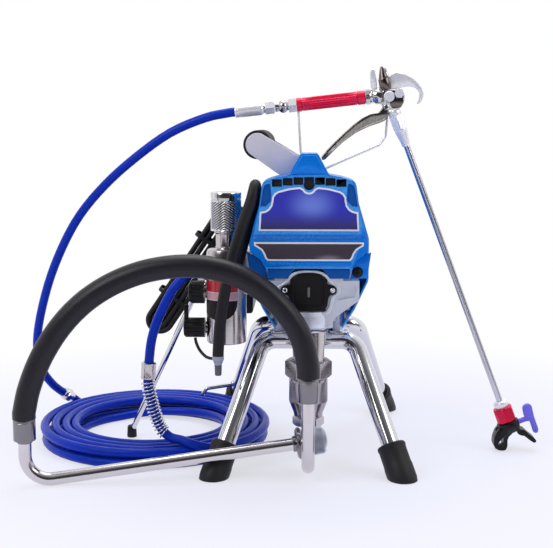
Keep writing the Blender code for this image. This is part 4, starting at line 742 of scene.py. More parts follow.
# A black sheet behind the vents is painted shade inside them.
vent_shade_sheet = plate("vent_shade_backing", both_sides(mm((5, 401), (52, 393.5), (54, 380), (10, 374))), -0.1606, -0.1596)
settle(softened(vent_shade_sheet, 0.0003), vent_shade_black)

tab = mm((54.5, 264), (77, 265), (81.9, 299.5), (77, 296.2), (70, 293.5), (61, 290.5), (58, 279))
settle(softened(plate("cover_tab_right", eased(tab, 0.0012, 3), -0.1566, -0.1528), 0.0008), azure)
# The left tab is the darker blue: painted shade on the machine's shaded side.
left_tab = [(-across, high) for across, high in tab]
settle(softened(plate("cover_tab_left", eased(left_tab, 0.0012, 3), -0.1550, -0.1512), 0.0008), shade_blue)

plastic = finish("black_plastic", (0.004, 0.004, 0.005), 0.34, second=(0.008, 0.007, 0.009),
                 edge_wear_and_highlight=(0.05, 0.05, 0.055), grain=900.0, smudge=0.12, fine=0.10, bump=0.05, specular=0.24,
                 slot="black_plastic")
screw_place = (0.0640, -0.1566, 0.2730)
settle(turned("tab_screw_washer", mm((7, 0), (7.2, 0.4), (7, 1.2), (5.6, 1.5)), screw_place, (0, -1, 0), 40), plastic)


def screw_head(name, place, radius, high, socket, look, *stands_for, way=(0, -1, 0)):
    """A domed screw with a hexagon socket."""
    dome = [(radius, 0.0), (radius, high * 0.35), (radius * 0.94, high * 0.62), (radius * 0.76, high * 0.86),
            (radius * 0.5, high)]
    head = turned(name, dome, place, way, 36)
    deep = Vector(way) * high
    start = Vector(place) + deep * 0.45
    head = worked(head, turned("socket", [(socket, 0.0), (socket, high)], start, way, 6))
    return settle(head, look, *stands_for)


screw_head("tab_screw", (screw_place[0], screw_place[1] - 0.0013, screw_place[2]), 0.0050, 0.0036, 0.0021, plastic,
           "cover_screw")

# ------------------------------------------------------------------ badge plates
# Two glossy printed plates with a white border, left blank: violet-blue above, brown-black below. Each print has a
# painted highlight patch, and painted shade that darkens it downwards and at its foot.


def print_with_painted_light(name, slot, low, high, dark, highlight_place, highlight_size):
    """A printed colour with painted light: a soft painted highlight patch, painted shade that darkens it downwards and
    a patch of painted shade at its foot.
    """
    # high is the colour of the painted highlight, and dark the colour of the painted shade.
    made = finish(name, low, 0.30, second=low, grain=300.0, smudge=0.05, fine=0.02, bump=0.01, specular=0.12,
                  slot=slot)
    tree = made.node_tree
    place = add(tree, "ShaderNodeTexCoord").outputs["Object"]
    patches = []
    for drop, spread in ((0.0, 1.0), (1.3 * highlight_size[1], 0.9)):
        spot = tuple(Vector(highlight_place) + MIDDLE - Vector((0, 0, drop)))
        apart = add(tree, "ShaderNodeVectorMath", (0, place), operation="SUBTRACT", by=spot)
        shrink = (1 / (spread * highlight_size[0]), 0.0, 1 / (spread * highlight_size[1]))
        scaled = add(tree, "ShaderNodeVectorMath", (0, apart.outputs[0]), operation="MULTIPLY", by=shrink)
        length = add(tree, "ShaderNodeVectorMath", (0, scaled.outputs[0]), operation="LENGTH")
        patch = add(tree, "ShaderNodeMapRange", ("Value", length.outputs["Value"]), interpolation_type="SMOOTHSTEP",
                    From_Min=1.0, From_Max=0.0)
        patches.append((scaled.outputs[0], patch.outputs["Result"]))
    height = add(tree, "ShaderNodeSeparateXYZ", (0, patches[0][0]))
    down = add(tree, "ShaderNodeMapRange", ("Value", height.outputs["Z"]), interpolation_type="SMOOTHSTEP",
               From_Min=-0.15, From_Max=-1.2)
    lit = add(tree, "ShaderNodeMix", ("Factor", patches[0][1]), data_type="RGBA", A=(*low, 1.0), B=(*high, 1.0))
    darker = add(tree, "ShaderNodeMath", (0, down.outputs["Result"]), (1, patches[1][1]), operation="MAXIMUM")
    shaded = add(tree, "ShaderNodeMix", ("Factor", darker.outputs[0]), ("A", lit.outputs["Result"]), data_type="RGBA",
                 B=(*dark, 1.0))
    tree.links.new(shaded.outputs["Result"], tree.nodes["Principled BSDF"].inputs["Base Color"])
    return made


badge_white = finish("badge_border_white", (0.86, 0.86, 0.88), 0.24, second=(0.80, 0.80, 0.82), grain=300.0, coat=0.5)
# The second colour of each print is its painted highlight and the third its painted shade.
upper_print_and_light = print_with_painted_light("upper_badge_print_and_painted_light", "badge_blue", (0.040, 0.045, 0.42), (0.15, 0.22, 0.66),
                          (0.050, 0.042, 0.12), (0.004, 0, 0.362), (0.040, 0.030))
lower_print_and_light = print_with_painted_light("lower_badge_print_and_painted_light", "badge_dark", (0.060, 0.047, 0.060), (0.24, 0.21, 0.21),
                          (0.060, 0.050, 0.066), (0.026, 0, 0.291), (0.024, 0.008))
notch = [(0.0072 * math.sin(angle), 0.3852 - 0.0072 * math.cos(angle)) for angle in (0.0, 0.4, 0.8, 1.2)]
sweep = [(0.0485 + 0.0135 * (1 - math.cos(angle)), 0.3668 - 0.0135 * math.sin(angle))
         for angle in (0.0, 0.4, 0.8, 1.15, 1.45)]
upper_outline = both_sides([*notch, *mm((11.5, 385.2), (25, 383.8), (40, 380), (44.8, 377), (47.8, 372.5)), *sweep,
                            (0.0640, 0.3530), (0.0655, 0.3280)])
lower_outline = both_sides(mm((71.6, 313.6), (71.4, 308.5), (67, 306), (62, 302.5), (59, 297.5), (57.2, 292.5),
                              (54, 288.8)))
for row, outline, print_and_light_look, slot in (("upper", upper_outline, upper_print_and_light, "badge_blue"),
                                       ("lower", lower_outline, lower_print_and_light, "badge_dark")):
    border = plate(f"{row}_badge_border", outline, COVER_FRONT - 0.0012, COVER_FRONT - 0.0001)
    settle(softened(border, 0.0003), badge_white, slot=slot)
    face = plate(f"{row}_badge_face", offset(outline, -0.0024), COVER_FRONT - 0.0017, COVER_FRONT - 0.0010)
    settle(softened(face, 0.0002), print_and_light_look, f"{row}_badge_plate", slot=slot)

# ------------------------------------------------------------------ pump door
# A black moulded door in front of the pump's yoke: a raised rim, a sunk panel with a light finger tab and an ear with
# a domed screw on each side.

door_half = mm((8, 272.2), (16, 270.5), (21.2, 265.5), (23.6, 260), (26.2, 257), (33.5, 256), (36.8, 252), (37, 248),
               (33.5, 244.6), (28.5, 243), (26.2, 240), (24.8, 229), (22, 224), (16, 222.2))
door = softened(plate("pump_door_moulding", eased(both_sides(door_half), 0.0020, 3), -0.1646, -0.1603), 0.0012, 3)
panel = eased(both_sides(mm((12, 269), (18.5, 264), (20, 256), (20, 233), (16.5, 228.5))), 0.003)
door = worked(door, plate("door_sink", panel, -0.170, -0.1622))
settle(softened(door, 0.0005, 2, 40), plastic, "pump_door")
settle(block("door_finger_tab", (-0.0016, -0.1656, 0.2405), (0.0016, -0.1620, 0.2535), 0.0010, 3),
       finish("worn_plastic", (0.16, 0.16, 0.165), 0.34, second=(0.10, 0.10, 0.105), grain=700.0,
              slot="black_plastic"))
for hand, side in HANDS:
    screw_head(f"door_screw_{hand}", (side * 0.0312, -0.1644, 0.2500), 0.0036, 0.0030, 0.0016, chrome)
settle(block("door_lip", (-0.0225, -0.1655, 0.2222), (0.0225, -0.1620, 0.2250), 0.0010, 3), plastic)

# ------------------------------------------------------------------ rear shroud
# The azure shroud over the motor: 2.5 mm sheet, open at the front and below, with slots in its end for cooling air.

shroud_half = mm((30, 392), (50, 385.5), (54, 382.2), (68, 358), (81.2, 313), (81.5, 308), (81.5, 258), (80.6, 253),
                 (63, 215), (46, 187))
shroud = softened(plate("rear_shroud_shell", both_sides(shroud_half), -0.1095, 0.112), 0.0035, 4, 24)
shroud = worked(shroud, plate("shroud_hollow", offset(both_sides(shroud_half), -0.0025), -0.130, 0.1095))
shroud = worked(shroud, block("shroud_floor", (-0.0460, -0.120, 0.170), (0.0460, 0.0750, 0.2050), 0))
shroud = worked(shroud, block("side_window", (-0.100, -0.120, 0.2280), (-0.060, -0.0360, 0.3000), 0))
for slot_number in range(9):
    across = (slot_number - 4) * 0.0100
    shroud = worked(shroud, block(f"end_slot_{slot_number}", (across - 0.0022, 0.100, 0.3000),
                                  (across + 0.0022, 0.120, 0.3700), 0))
for row in range(5):
    start = -0.060 + row * 0.016
    shroud = worked(shroud, block(f"side_slot_{row}", (0.060, start, 0.2650), (0.100, start + 0.005, 0.3020), 0))
settle(softened(shroud, 0.0005, 2, 40), azure, "rear_shroud")
for hand, side in HANDS:
    for high in (0.235, 0.345):
        place = (side * (0.0725 if high < 0.3 else 0.0715), 0.060, high)
        way = Vector((side, 0, -0.42 if high < 0.3 else 0.27)).normalized()
        screw_head(f"shroud_screw_{hand}_{'low' if high < 0.3 else 'high'}", place, 0.0042, 0.0028, 0.0018, plastic,
                   way=way)

# ------------------------------------------------------------------ pump
# The fluid section hangs under the gear case: a turned steel cylinder held by a wire clip, a chamfered hexagon jam
# nut, the intake valve with its wrench flats and a hexagon inlet nut.


def hexed(name, across, low, high, foot=(0, 0, 0), way=(0, 0, 1), bore=0.0, spin=30.0, chamfer=0.0014):
    """A hexagon whose corners are turned off at both ends, with a hole through it."""
    corner = across / math.sqrt(3)
    piece = turned(name, [(corner, low), (corner, high)], sides=6)
    piece.data.transform(Matrix.Rotation(math.radians(spin), 4, "Z"))
    cone = turned(name + "_cone", [(across / 2 - chamfer * 0.2, low - 0.0001), (corner + 0.0002, low + chamfer),
                                   (corner + 0.0002, high - chamfer), (across / 2 - chamfer * 0.2, high + 0.0001)],
                  sides=64)
    piece = worked(piece, cone, "INTERSECT")
    if bore:
        piece = worked(piece, turned("bore", [(bore, low - 0.01), (bore, high + 0.01)], sides=48))
    piece = softened(piece, 0.0003, 2, 25)
    return smoothed(stood(piece, foot, way))


settle(turned("pump_barrel", mm((21, 127.4), (21.5, 128), (21.5, 194), (20.9, 195.2), (20.6, 196.5), (20.6, 205)),
              PUMP_FOOT, sides=72), steel, "pump_cylinder")
clip_points = []
for step in range(73):
    angle = math.radians(step * 5)
    clip_points.append(Vector((0.0262 * math.sin(angle), PUMP_Y - 0.0262 * math.cos(angle),
                               0.1940 + 0.0012 * math.sin(5 * angle))))
settle(bar("barrel_clip", clip_points, 0.0011, 4), dark_steel)
settle(turned("barrel_shoulder", mm((21.6, 191.5), (25, 191.8), (25.4, 192.5), (25.4, 196.2)), PUMP_FOOT, sides=64),
       cast)
settle(hexed("jam_nut_hexagon", 0.0550, 0.1275, 0.1517, PUMP_FOOT, bore=0.0217, chamfer=0.0030), steel, "jam_nut")
valve = turned("intake_valve_body", mm((19, 74.2), (19.5, 74.8), (19.8, 78.5), (25.8, 93.5), (26.2, 96), (26.2, 124),
                                       (25.6, 126.2), (24.5, 127.1)), PUMP_FOOT, sides=72)
for turn in (38, 142, 218, 322):
    flat = block("flat", (0.0243, -0.030, 0.0950), (0.0330, 0.030, 0.1225), 0)
    flat.data.transform(Matrix.Translation(PUMP_FOOT) @ Matrix.Rotation(math.radians(turn), 4, "Z"))
    valve = worked(valve, flat)
valve_steel = finish("valve_steel", (0.42, 0.38, 0.43), 0.20, 1.0, second=(0.33, 0.30, 0.34),
                     edge_wear_and_highlight=(0.78, 0.77, 0.79), grain=700.0, draw_out=(0.1, 0.1, 1.6), smudge=0.10, fine=0.12,
                     bump=0.05, slot="stainless_steel")
settle(softened(valve, 0.0003, 2, 22), valve_steel, "intake_valve")
settle(hexed("inlet_nut_hexagon", 0.0372, 0.0608, 0.0738, PUMP_FOOT, bore=0.0090, chamfer=0.0022), steel, "inlet_nut")

# ------------------------------------------------------------------ suction set
# A bent steel pipe turns up in front of the pump, a stiff rubber hose of 30 mm arches over to the intake pipe on the
# floor, and a round mesh strainer ends it. Both ends of the hose are crimped into steel ferrules.

u_far, u_bend, u_low = PUMP_Y - 0.080, 0.040, 0.0555
u_points = [Vector((0, PUMP_Y, 0.0725))]
u_points += [Vector((0, PUMP_Y - u_bend + u_bend * math.cos(math.pi * step / 24),
                     u_low - u_bend * math.sin(math.pi * step / 24))) for step in range(25)]
u_points.append(Vector((0, u_far, 0.1135)))
pipe_steel = finish("pipe_steel", (0.70, 0.66, 0.69), 0.15, 1.0, second=(0.60, 0.56, 0.59), edge_wear_and_highlight=(0.85, 0.84, 0.85),
                    grain=500.0, smudge=0.08, fine=0.08, bump=0.03, slot="stainless_steel")
settle(bar("inlet_bend", u_points, 0.0086, 10), pipe_steel, "inlet_elbow")
bright = finish("bright_steel", (0.27, 0.26, 0.28), 0.20, 1.0, second=(0.20, 0.19, 0.21), edge_wear_and_highlight=(0.80, 0.80, 0.82),
                grain=420.0, draw_out=(2.0, 2.0, 0.1), smudge=0.10, fine=0.14, bump=0.06, slot="stainless_steel")


def crimped(name, radius, length, foot, way, lip=0.0010, sides=64):
    """A sleeve with a rolled lip at its mouth and a shoulder at its root."""
    rings = [(radius * 0.72, 0.0), (radius * 0.95, 0.0006), (radius, 0.0018), (radius, length - 0.0052),
             (radius - 0.0003, length - 0.0048), (radius - 0.0003, length - 0.0042), (radius, length - 0.0038),
             (radius, length - 0.0010), (radius - 0.0004, length - 0.0002), (radius - lip, length)]
    return turned(name, rings, foot, way, sides)


settle(crimped("inlet_ferrule", 0.0132, 0.0325, (0, u_far, 0.1115), (0, 0, 1)), bright)
suction_route = mm((0, -215, 144.3), (-1, -215, 162.2), (-6.4, -215, 188), (-16.5, -215, 210), (-33, -215, 233),
                   (-57.9, -215, 256.9), (-87, -215.5, 274.7), (-119, -216, 284.5), (-151, -216.5, 287.9),
                   (-185, -217, 285.5), (-219.2, -217.5, 277.5), (-255.3, -218.5, 261.8), (-289.1, -219.5, 238.5),
                   (-318.5, -220.5, 207.2), (-342.5, -221.5, 169), (-358.5, -222.5, 129.6), (-366, -223.5, 90))
suction = bar("suction_rubber_hose", squared(suction_route, (0, 0, 1), (0, 0, -1), 0.0075, 6), 0.0150, 12)
suction_rubber = finish("suction_rubber", (0.010, 0.009, 0.013), 0.36, second=(0.018, 0.016, 0.022), grain=1100.0,
                        smudge=0.14, fine=0.12, bump=0.10, specular=0.30, slot="black_rubber")
settle(suction, suction_rubber, "suction_hose")

intake_corner, strainer_foot = Vector((-0.3665, -0.2235, 0.0044)), Vector((-0.0165, -0.1835, 0.0480))
intake_way = (strainer_foot - intake_corner).normalized()
intake = [(-0.3660, -0.2235, 0.0600), intake_corner, strainer_foot - intake_way * 0.0003]
settle(bar("intake_bend", bent(intake, 0.032, 20), 0.0084, 10), pipe_steel, "intake_pipe")
settle(crimped("intake_ferrule", 0.0144, 0.0302, (-0.3660, -0.2235, 0.0608), (0, 0, 1)), bright)
settle(turned("ferrule_ring", mm((9.2, 0), (9.8, 0.6), (9.8, 2.4), (9, 3)), (-0.3660, -0.2235, 0.0580), (0, 0, 1)),
       bright)

flange = turned("strainer_flange", mm((9.8, -4), (10.4, -3.4), (10.6, 0), (18, 1), (20.5, 2.8), (21, 4.8), (20.6, 6.6),
                                      (19.2, 7.6), (17.8, 8)), strainer_foot, intake_way, 64)
settle(flange, bright, "strainer")
basket_rings = mm((17.2, 7.8), (17.6, 8)) + [(0.0176 + 0.0006 * math.sin(math.pi * step / 24), 0.0080 + 0.0012 * step)
                                             for step in range(1, 24)]
basket_rings += mm((16.8, 36.8), (15, 38.6), (12.6, 40), (10, 40.9), (7.2, 41.5), (4, 41.8))
# A grey core just inside the mesh is painted shade within the strainer.
core = turned("strainer_shade_core", [(radius - 0.0009, high - 0.0004) for radius, high in basket_rings[1:]], strainer_foot,
              intake_way, 40)
strainer_shade = finish("strainer_inside_shade", (0.26, 0.26, 0.27), 0.6, 0.3, second=(0.20, 0.20, 0.21), grain=700.0,
                   slot="stainless_steel")
settle(core, strainer_shade)
basket = turned("strainer_mesh", basket_rings, strainer_foot, intake_way, 84)
alone(basket)
weave = basket.modifiers.new("weave", "WIREFRAME")
weave.thickness = 0.00055
weave.use_even_offset = False
bpy.ops.object.modifier_apply(modifier="weave")
settle(smoothed(basket), cast, slot="stainless_steel")

# ------------------------------------------------------------------ filter
# A round steel filter housing at the left, bolted to the gear case by its arm. It has a chromed cap with chevron
# grooves over a dark core that shows in them as painted shade, a plain coloured wrap, the pressure knob above and the
# drain valve knob below.

FILTER = Vector((-0.113, -0.100, 0.0))
FILTER_R = 0.0275
PRESSURE_Z, DRAIN_Z = 0.2375, 0.1880


def knurled(name, radius, low, high, count, deep, pitch=0.0, steps=36, sides_each=6, foot=(0, 0, 0), way=(0, 0, 1),
            ends=0.001):
    """A turned piece with grooves in its side: straight ones, or with a pitch chevrons that meet at the front."""
    rings = [(radius - ends, low)] + [(radius, low + (high - low) * step / steps)
                                      for step in range(steps + 1)] + [(radius - ends, high)]
    piece = turned(name, rings, sides=count * sides_each)
    for corner in piece.data.vertices:
        across = math.hypot(corner.co.x, corner.co.y)
        if across < radius - ends * 0.5:
            continue
        if pitch:
            share = (corner.co.z - low) / pitch - 23 * abs(math.atan2(corner.co.x, -corner.co.y)) / (2 * math.pi)
        else:
            share = count * math.atan2(corner.co.y, corner.co.x) / (2 * math.pi)
        wave = abs(2 * (share % 1.0) - 1.0)
        near_end = min(corner.co.z - low, high - corner.co.z) / (high - low)
        cut_in = deep * (1 - wave) * min(1.0, near_end * 12 + 0.1)
        corner.co.x *= (across - cut_in) / across
        corner.co.y *= (across - cut_in) / across
    return smoothed(stood(piece, foot, way), 60)


cap_chrome = finish("knurled_chrome", (0.80, 0.78, 0.80), 0.15, 1.0, second=(0.68, 0.66, 0.69),
                    edge_wear_and_highlight=(0.95, 0.95, 0.96), grain=500.0, smudge=0.06, fine=0.05, bump=0.02, slot="chrome")
settle(turned("filter_housing", mm((22.5, 168), (26.2, 168.2), (27.2, 169.2), (27.5, 171), (27.5, 288), (27.2, 292),
                                   (25.8, 296.5), (23, 298.5), (15.6, 299.8), (14.2, 301.2), (14.2, 318), (16, 320),
                                   (16, 321.5)), FILTER, sides=80), steel, "filter_body")
arm = block("filter_arm", (-0.0885, -0.1085, 0.2350), (-0.0668, -0.0850, 0.2970), 0.0030, 3)
settle(arm, cast)
for number, high in enumerate((0.2460, 0.2860)):
    settle(hexed(f"arm_bolt_{number}", 0.0100, 0.0, 0.0055, (-0.0775, -0.1085, high), (0, -1, 0), chamfer=0.0006),
           chrome)
for name, high, radius in (("pressure_boss", PRESSURE_Z, 0.0088), ("drain_boss", DRAIN_Z, 0.0088)):
    settle(turned(name, [(radius + 0.0014, 0.0235), (radius, 0.0262), (radius, 0.0276), (radius - 0.0004, 0.0284)],
                  (FILTER.x, FILTER.y, high), (-1, 0, 0)), steel)
settle(turned("outlet_boss", mm((9.8, 17), (8.6, 19.5), (8.6, 27.6), (8.2, 28.1)), (-0.1130, -0.112, 0.264),
              (-1, 0, 0)), steel)
settle(turned("drain_port", mm((7.5, 12), (6.6, 14), (6.2, 25), (7, 26.2), (7, 35), (5, 37.2)),
              (-0.0965, -0.1000, 0.2560), (0, -1, 0), 36), steel)
settle(turned("drain_barb", mm((5.8, -3), (6.4, 0), (6.4, 6), (5.2, 7.5), (5.5, 14.2)), (-0.0965, -0.1345, 0.2560),
              sides=36), steel)

cap = knurled("filter_cap_knurl", 0.0210, 0.3226, 0.3640, 24, 0.0016, pitch=0.0034, steps=110, sides_each=8,
              foot=FILTER, ends=0.0008)
# The dark core under the knurled cap shows through its grooves: painted shade in the grooves.
settle(turned("filter_cap_groove_shade", mm((19, 324), (20.2, 325.2), (20.2, 362.2), (19, 363)), FILTER, sides=96), dark_steel)
settle(cap, cap_chrome, "filter_cap")
settle(turned("filter_cap_top", mm((19.6, 363.6), (20.3, 364.4), (20.3, 365.6), (20.9, 366.2), (21, 373.5),
                                   (20.4, 374.5), (19.2, 374.8), (15, 374.2), (14, 373.8)), FILTER, sides=72), chrome)


def wrapped(name, outline, thick):
    """A thin sheet that follows the filter housing, cut to an outline seen from the front."""
    sheet = turned(name, [(FILTER_R + thick, 0.170), (FILTER_R + thick, 0.298)], FILTER, sides=96)
    sheet = worked(sheet, plate("wrap_outline", outline, -0.150, -0.1060), "INTERSECT")
    return worked(sheet, turned("wrap_inside", [(FILTER_R + 0.00004, 0.160), (FILTER_R + 0.00004, 0.310)], FILTER,
                                sides=96))


WRAP_X = FILTER.x - 0.0080


def shield(top, bottom, half):
    """A band with a flat top and a rounded foot."""
    arc = [(WRAP_X + half * math.cos(angle), top - (top - bottom) * math.sin(angle) ** 0.8)
           for angle in [math.pi * step / 24 for step in range(1, 24)]]
    return [(WRAP_X - half, top), (WRAP_X + half, top), *arc]


label_white = finish("label_white", (0.80, 0.80, 0.80), 0.30, second=(0.72, 0.72, 0.72), grain=300.0, coat=0.4,
                     slot="grey_plastic")
label_red = finish("label_red", (0.52, 0.012, 0.016), 0.28, second=(0.40, 0.010, 0.014), grain=300.0, coat=0.4)
label_pink = finish("label_pale_band", (0.66, 0.36, 0.38), 0.30, second=(0.56, 0.28, 0.30), grain=300.0, coat=0.4)
label_black = finish("label_black", (0.010, 0.006, 0.008), 0.30, second=(0.018, 0.010, 0.012), grain=300.0,
                     specular=0.2, slot="badge_dark")
settle(wrapped("wrap_border", shield(0.2570, 0.2000, 0.0262), 0.00012), label_white)
settle(wrapped("wrap_field", shield(0.2290, 0.2018, 0.0246), 0.00022), label_black)
for name, low, high, look in (("red", 0.2405, 0.2562, label_red), ("pale", 0.2298, 0.2398, label_pink)):
    row = [(WRAP_X - 0.0250, low), (WRAP_X + 0.0250, low), (WRAP_X + 0.0250, high), (WRAP_X - 0.0250, high)]
    settle(wrapped(f"wrap_{name}", row, 0.00022), look, slot="red_anodised")

pressure_foot, drain_foot = (-0.1418, FILTER.y, PRESSURE_Z), (-0.1418, FILTER.y, DRAIN_Z)
settle(knurled("pressure_knob_grip", 0.0158, 0.0012, 0.0190, 22, 0.0011, steps=8, sides_each=6,
               foot=pressure_foot, way=(-1, 0, 0), ends=0.0010), plastic, "pressure_knob",
       body="pressure_control")
settle(turned("pressure_knob_crown", mm((15, 18.8), (15, 19.8), (14, 21.6), (12, 22.8), (9.2, 23), (8.6, 22.2)),
              pressure_foot, (-1, 0, 0), 56), plastic, body="pressure_control")
settle(turned("pressure_knob_collar", mm((12.6, 0.1), (13.2, 0.4), (13.2, 1.2)), pressure_foot, (-1, 0, 0), 56),
       steel, body="pressure_control")
settle(knurled("drain_knob_grip", 0.0138, 0.0010, 0.0275, 16, 0.0014, steps=8, sides_each=6, foot=drain_foot,
               way=(-1, 0, 0), ends=0.0010), plastic, "drain_valve_knob", body="drain_valve")
settle(turned("drain_knob_crown", mm((12.6, 27.2), (12.6, 28.4), (11.2, 29.8), (8, 30)), drain_foot,
              (-1, 0, 0), 56), plastic, body="drain_valve")
settle(block("drain_knob_finger", (-0.1715, FILTER.y - 0.0034, 0.1985), (-0.1655, FILTER.y + 0.0034, 0.2200), 0.0014,
             3), plastic, body="drain_valve")

tether = smooth(mm((-156, -105, 174.2), (-154.5, -108, 168), (-149, -118, 160), (-140, -133, 154.5), (-132, -145, 154),
                   (-126.2, -152, 155.2)), 6)
settle(bar("drain_tether", tether, 0.0021, 4), rubber)
nozzle_foot = Vector((-0.1205, -0.1550, 0.1593))
pale = finish("pale_nylon", (0.40, 0.42, 0.50), 0.34, second=(0.33, 0.34, 0.40), grain=400.0, smudge=0.10, fine=0.06,
              bump=0.03, slot="grey_plastic")
grey_nylon = finish("grey_nylon", (0.12, 0.12, 0.14), 0.42, second=(0.09, 0.09, 0.10), grain=400.0, bump=0.03,
                    slot="grey_plastic")
nozzle_body = settle(turned("drain_nozzle_body", mm((7.4, 0), (7.8, 0.6), (7.8, 5), (7.2, 5.8), (5, 11.5), (4.8, 12)),
                            nozzle_foot, (0, 0, -1), 48), pale, "drain_nozzle")
nozzle_tip = settle(turned("drain_nozzle_tip", mm((4.7, 11.8), (5, 12.4), (4.6, 22.5), (4.4, 25.5), (3.8, 26.4),
                                                  (2.6, 26.2)), nozzle_foot, (0, 0, -1), 40), grey_nylon)

# ------------------------------------------------------------------ carry handle
# A painted steel bracket with rounded arms, and a rubber grip between them.

lavender = finish("grey_paint", (0.74, 0.69, 0.73), 0.42, 0.15, second=(0.62, 0.60, 0.67), edge_wear_and_highlight=(0.84, 0.84, 0.88),
                  grain=1500.0, smudge=0.10, fine=0.14, bump=0.10, slot="grey_paint")
GRIP_X, GRIP_Z = -0.0696, 0.4385
arm_outline = [(GRIP_X + 0.0158 * math.cos(math.radians(angle)), GRIP_Z + 0.0158 * math.sin(math.radians(angle)))
               for angle in range(236, 56, -12)]
arm_outline += mm((-18.5, 426.2), (0, 415.5), (22, 403), (22, 392.5), (-29, 392.5), (-42, 399.8))
for row, near in (("front", -0.1095), ("rear", 0.0560)):
    drop = 0.0 if row == "front" else 0.0032
    piece = softened(plate(f"handle_arm_{row}", [(across, high - drop) for across, high in arm_outline], near,
                           near + 0.0050), 0.0009, 3)
    settle(piece, lavender, *(["handle_bracket"] if row == "front" else []))
settle(block("handle_spine", (-0.0290, -0.1050, 0.3925), (0.0190, 0.0565, 0.3975), 0.0010), lavender)
for number, depth in enumerate((-0.080, 0.030)):
    screw_head(f"spine_screw_{number}", (-0.0035, depth, 0.3975), 0.0046, 0.0026, 0.0020, chrome, way=(0, 0, 1))
grip_rings = mm((17.6, -104), (19.3, -103.2), (19.5, -101.5))
for groove in range(11):
    start = -0.0900 + groove * 0.0125
    grip_rings += [(0.0195, start), (0.0186, start + 0.0010), (0.0186, start + 0.0028), (0.0195, start + 0.0038)]
grip_rings += mm((19.5, 53), (19.3, 54.8), (17.6, 55.6))
settle(turned("rubber_grip", grip_rings, (GRIP_X, 0, GRIP_Z), (0, 1, 0), 64), rubber, "handle_grip")

# ------------------------------------------------------------------ control box and power cord ends
# A black moulded box behind the filter with a rocker switch in its rear, a ribbed strain relief where the cord comes
# out, the cord's plug and the ties that hold its hank.

box_piece = block("control_box_case", (-0.124, 0.000, 0.190), (-0.0818, 0.100, 0.268), 0.004, 4)
box_piece = worked(box_piece, block("switch_room", (-0.1130, 0.0890, 0.2140), (-0.0930, 0.1100, 0.2440), 0.0))
for rib in range(6):
    box_piece = worked(box_piece, block(f"box_groove_{rib}", (-0.130, 0.014 + rib * 0.007, 0.2350),
                                        (-0.1232, 0.017 + rib * 0.007, 0.2590), 0))
settle(softened(box_piece, 0.0004, 2, 50), plastic, "control_box")
bezel = block("switch_bezel", (-0.1155, 0.0995, 0.2115), (-0.0905, 0.1012, 0.2465), 0.0006)
bezel = worked(bezel, block("bezel_room", (-0.1130, 0.0900, 0.2140), (-0.0930, 0.1100, 0.2440), 0))
settle(bezel, plastic)
rocker = plate("rocker_key", mm((92, 217), (103, 217), (101.8, 223), (101, 229), (101.8, 235), (103, 241), (92, 241)),
               -0.1127, -0.0933, facing="X")
settle(softened(rocker, 0.0006), rubber, "power_switch", body="rocker")
relief_rings = mm((7.8, 0), (8, 0.6), (8, 2.6), (6.8, 3))
for rib in range(4):
    relief_rings += [(0.0066 - rib * 0.0003, 0.0048 + rib * 0.0028), (0.0054 - rib * 0.0002, 0.0050 + rib * 0.0028),
                     (0.0054 - rib * 0.0002, 0.0062 + rib * 0.0028), (0.0064 - rib * 0.0003, 0.0064 + rib * 0.0028)]
settle(turned("cord_relief", [*relief_rings, (0.0050, 0.0158)], (-0.1242, 0.0300, 0.2250), (-1, 0, 0), 36), rubber,
       "strain_relief")
plug_body = turned("plug_body", mm((4.6, 0.3), (5.4, 1), (5.8, 6), (7.6, 10), (10.8, 14), (12.6, 16.5), (13, 18.5),
                                   (13, 32), (12.4, 33.6), (11.2, 34)), plug_ends[0], plug_way, 44)
plug_piece = settle(plug_body, plastic, "plug")
for hand, side in HANDS:
    pin = turned(f"plug_pin_{hand}", mm((2.3, 0), (2.3, 11.8), (1.9, 13.6), (1.1, 14.2)),
                 plug_ends[1] + Vector((side * 0.0065, 0, 0)) - plug_way * 0.0004, plug_way, 24)
    settle(pin, chrome)
for number, along in enumerate((-0.046, 0.050)):
    loops = []
    for across, deep in ((0.0252, 0.0186), (0.0240, 0.0174)):
        ring = [math.pi * step / 24 for step in range(48)]
        loops.append([(across * math.copysign(abs(math.cos(angle)) ** 0.5, math.cos(angle)),
                       deep * math.copysign(abs(math.sin(angle)) ** 0.5, math.sin(angle))) for angle in ring])
    tie = worked(plate(f"hank_tie_{number}", loops[0], -0.0028, 0.0028), plate("tie_room", loops[1], -0.01, 0.01))
    tie = worked(softened(tie, 0.0003), block("tie_buckle", (0.0236, -0.0040, -0.0036), (0.0276, 0.0040, 0.0036),
                                              0.0008), "UNION")
    turn = Matrix((hank_across, hank_along, Vector((0, 1, 0)))).transposed().to_4x4()
    tie.data.transform(Matrix.Translation(hank_middle + hank_along * along) @ turn)
    settle(tie, rubber)

# ------------------------------------------------------------------ paint hose fittings
# The outlet fitting on the filter, a steel collar and a spring of 16 curls that keep the hose from kinking, and the
# coupling between the long hose and the whip.

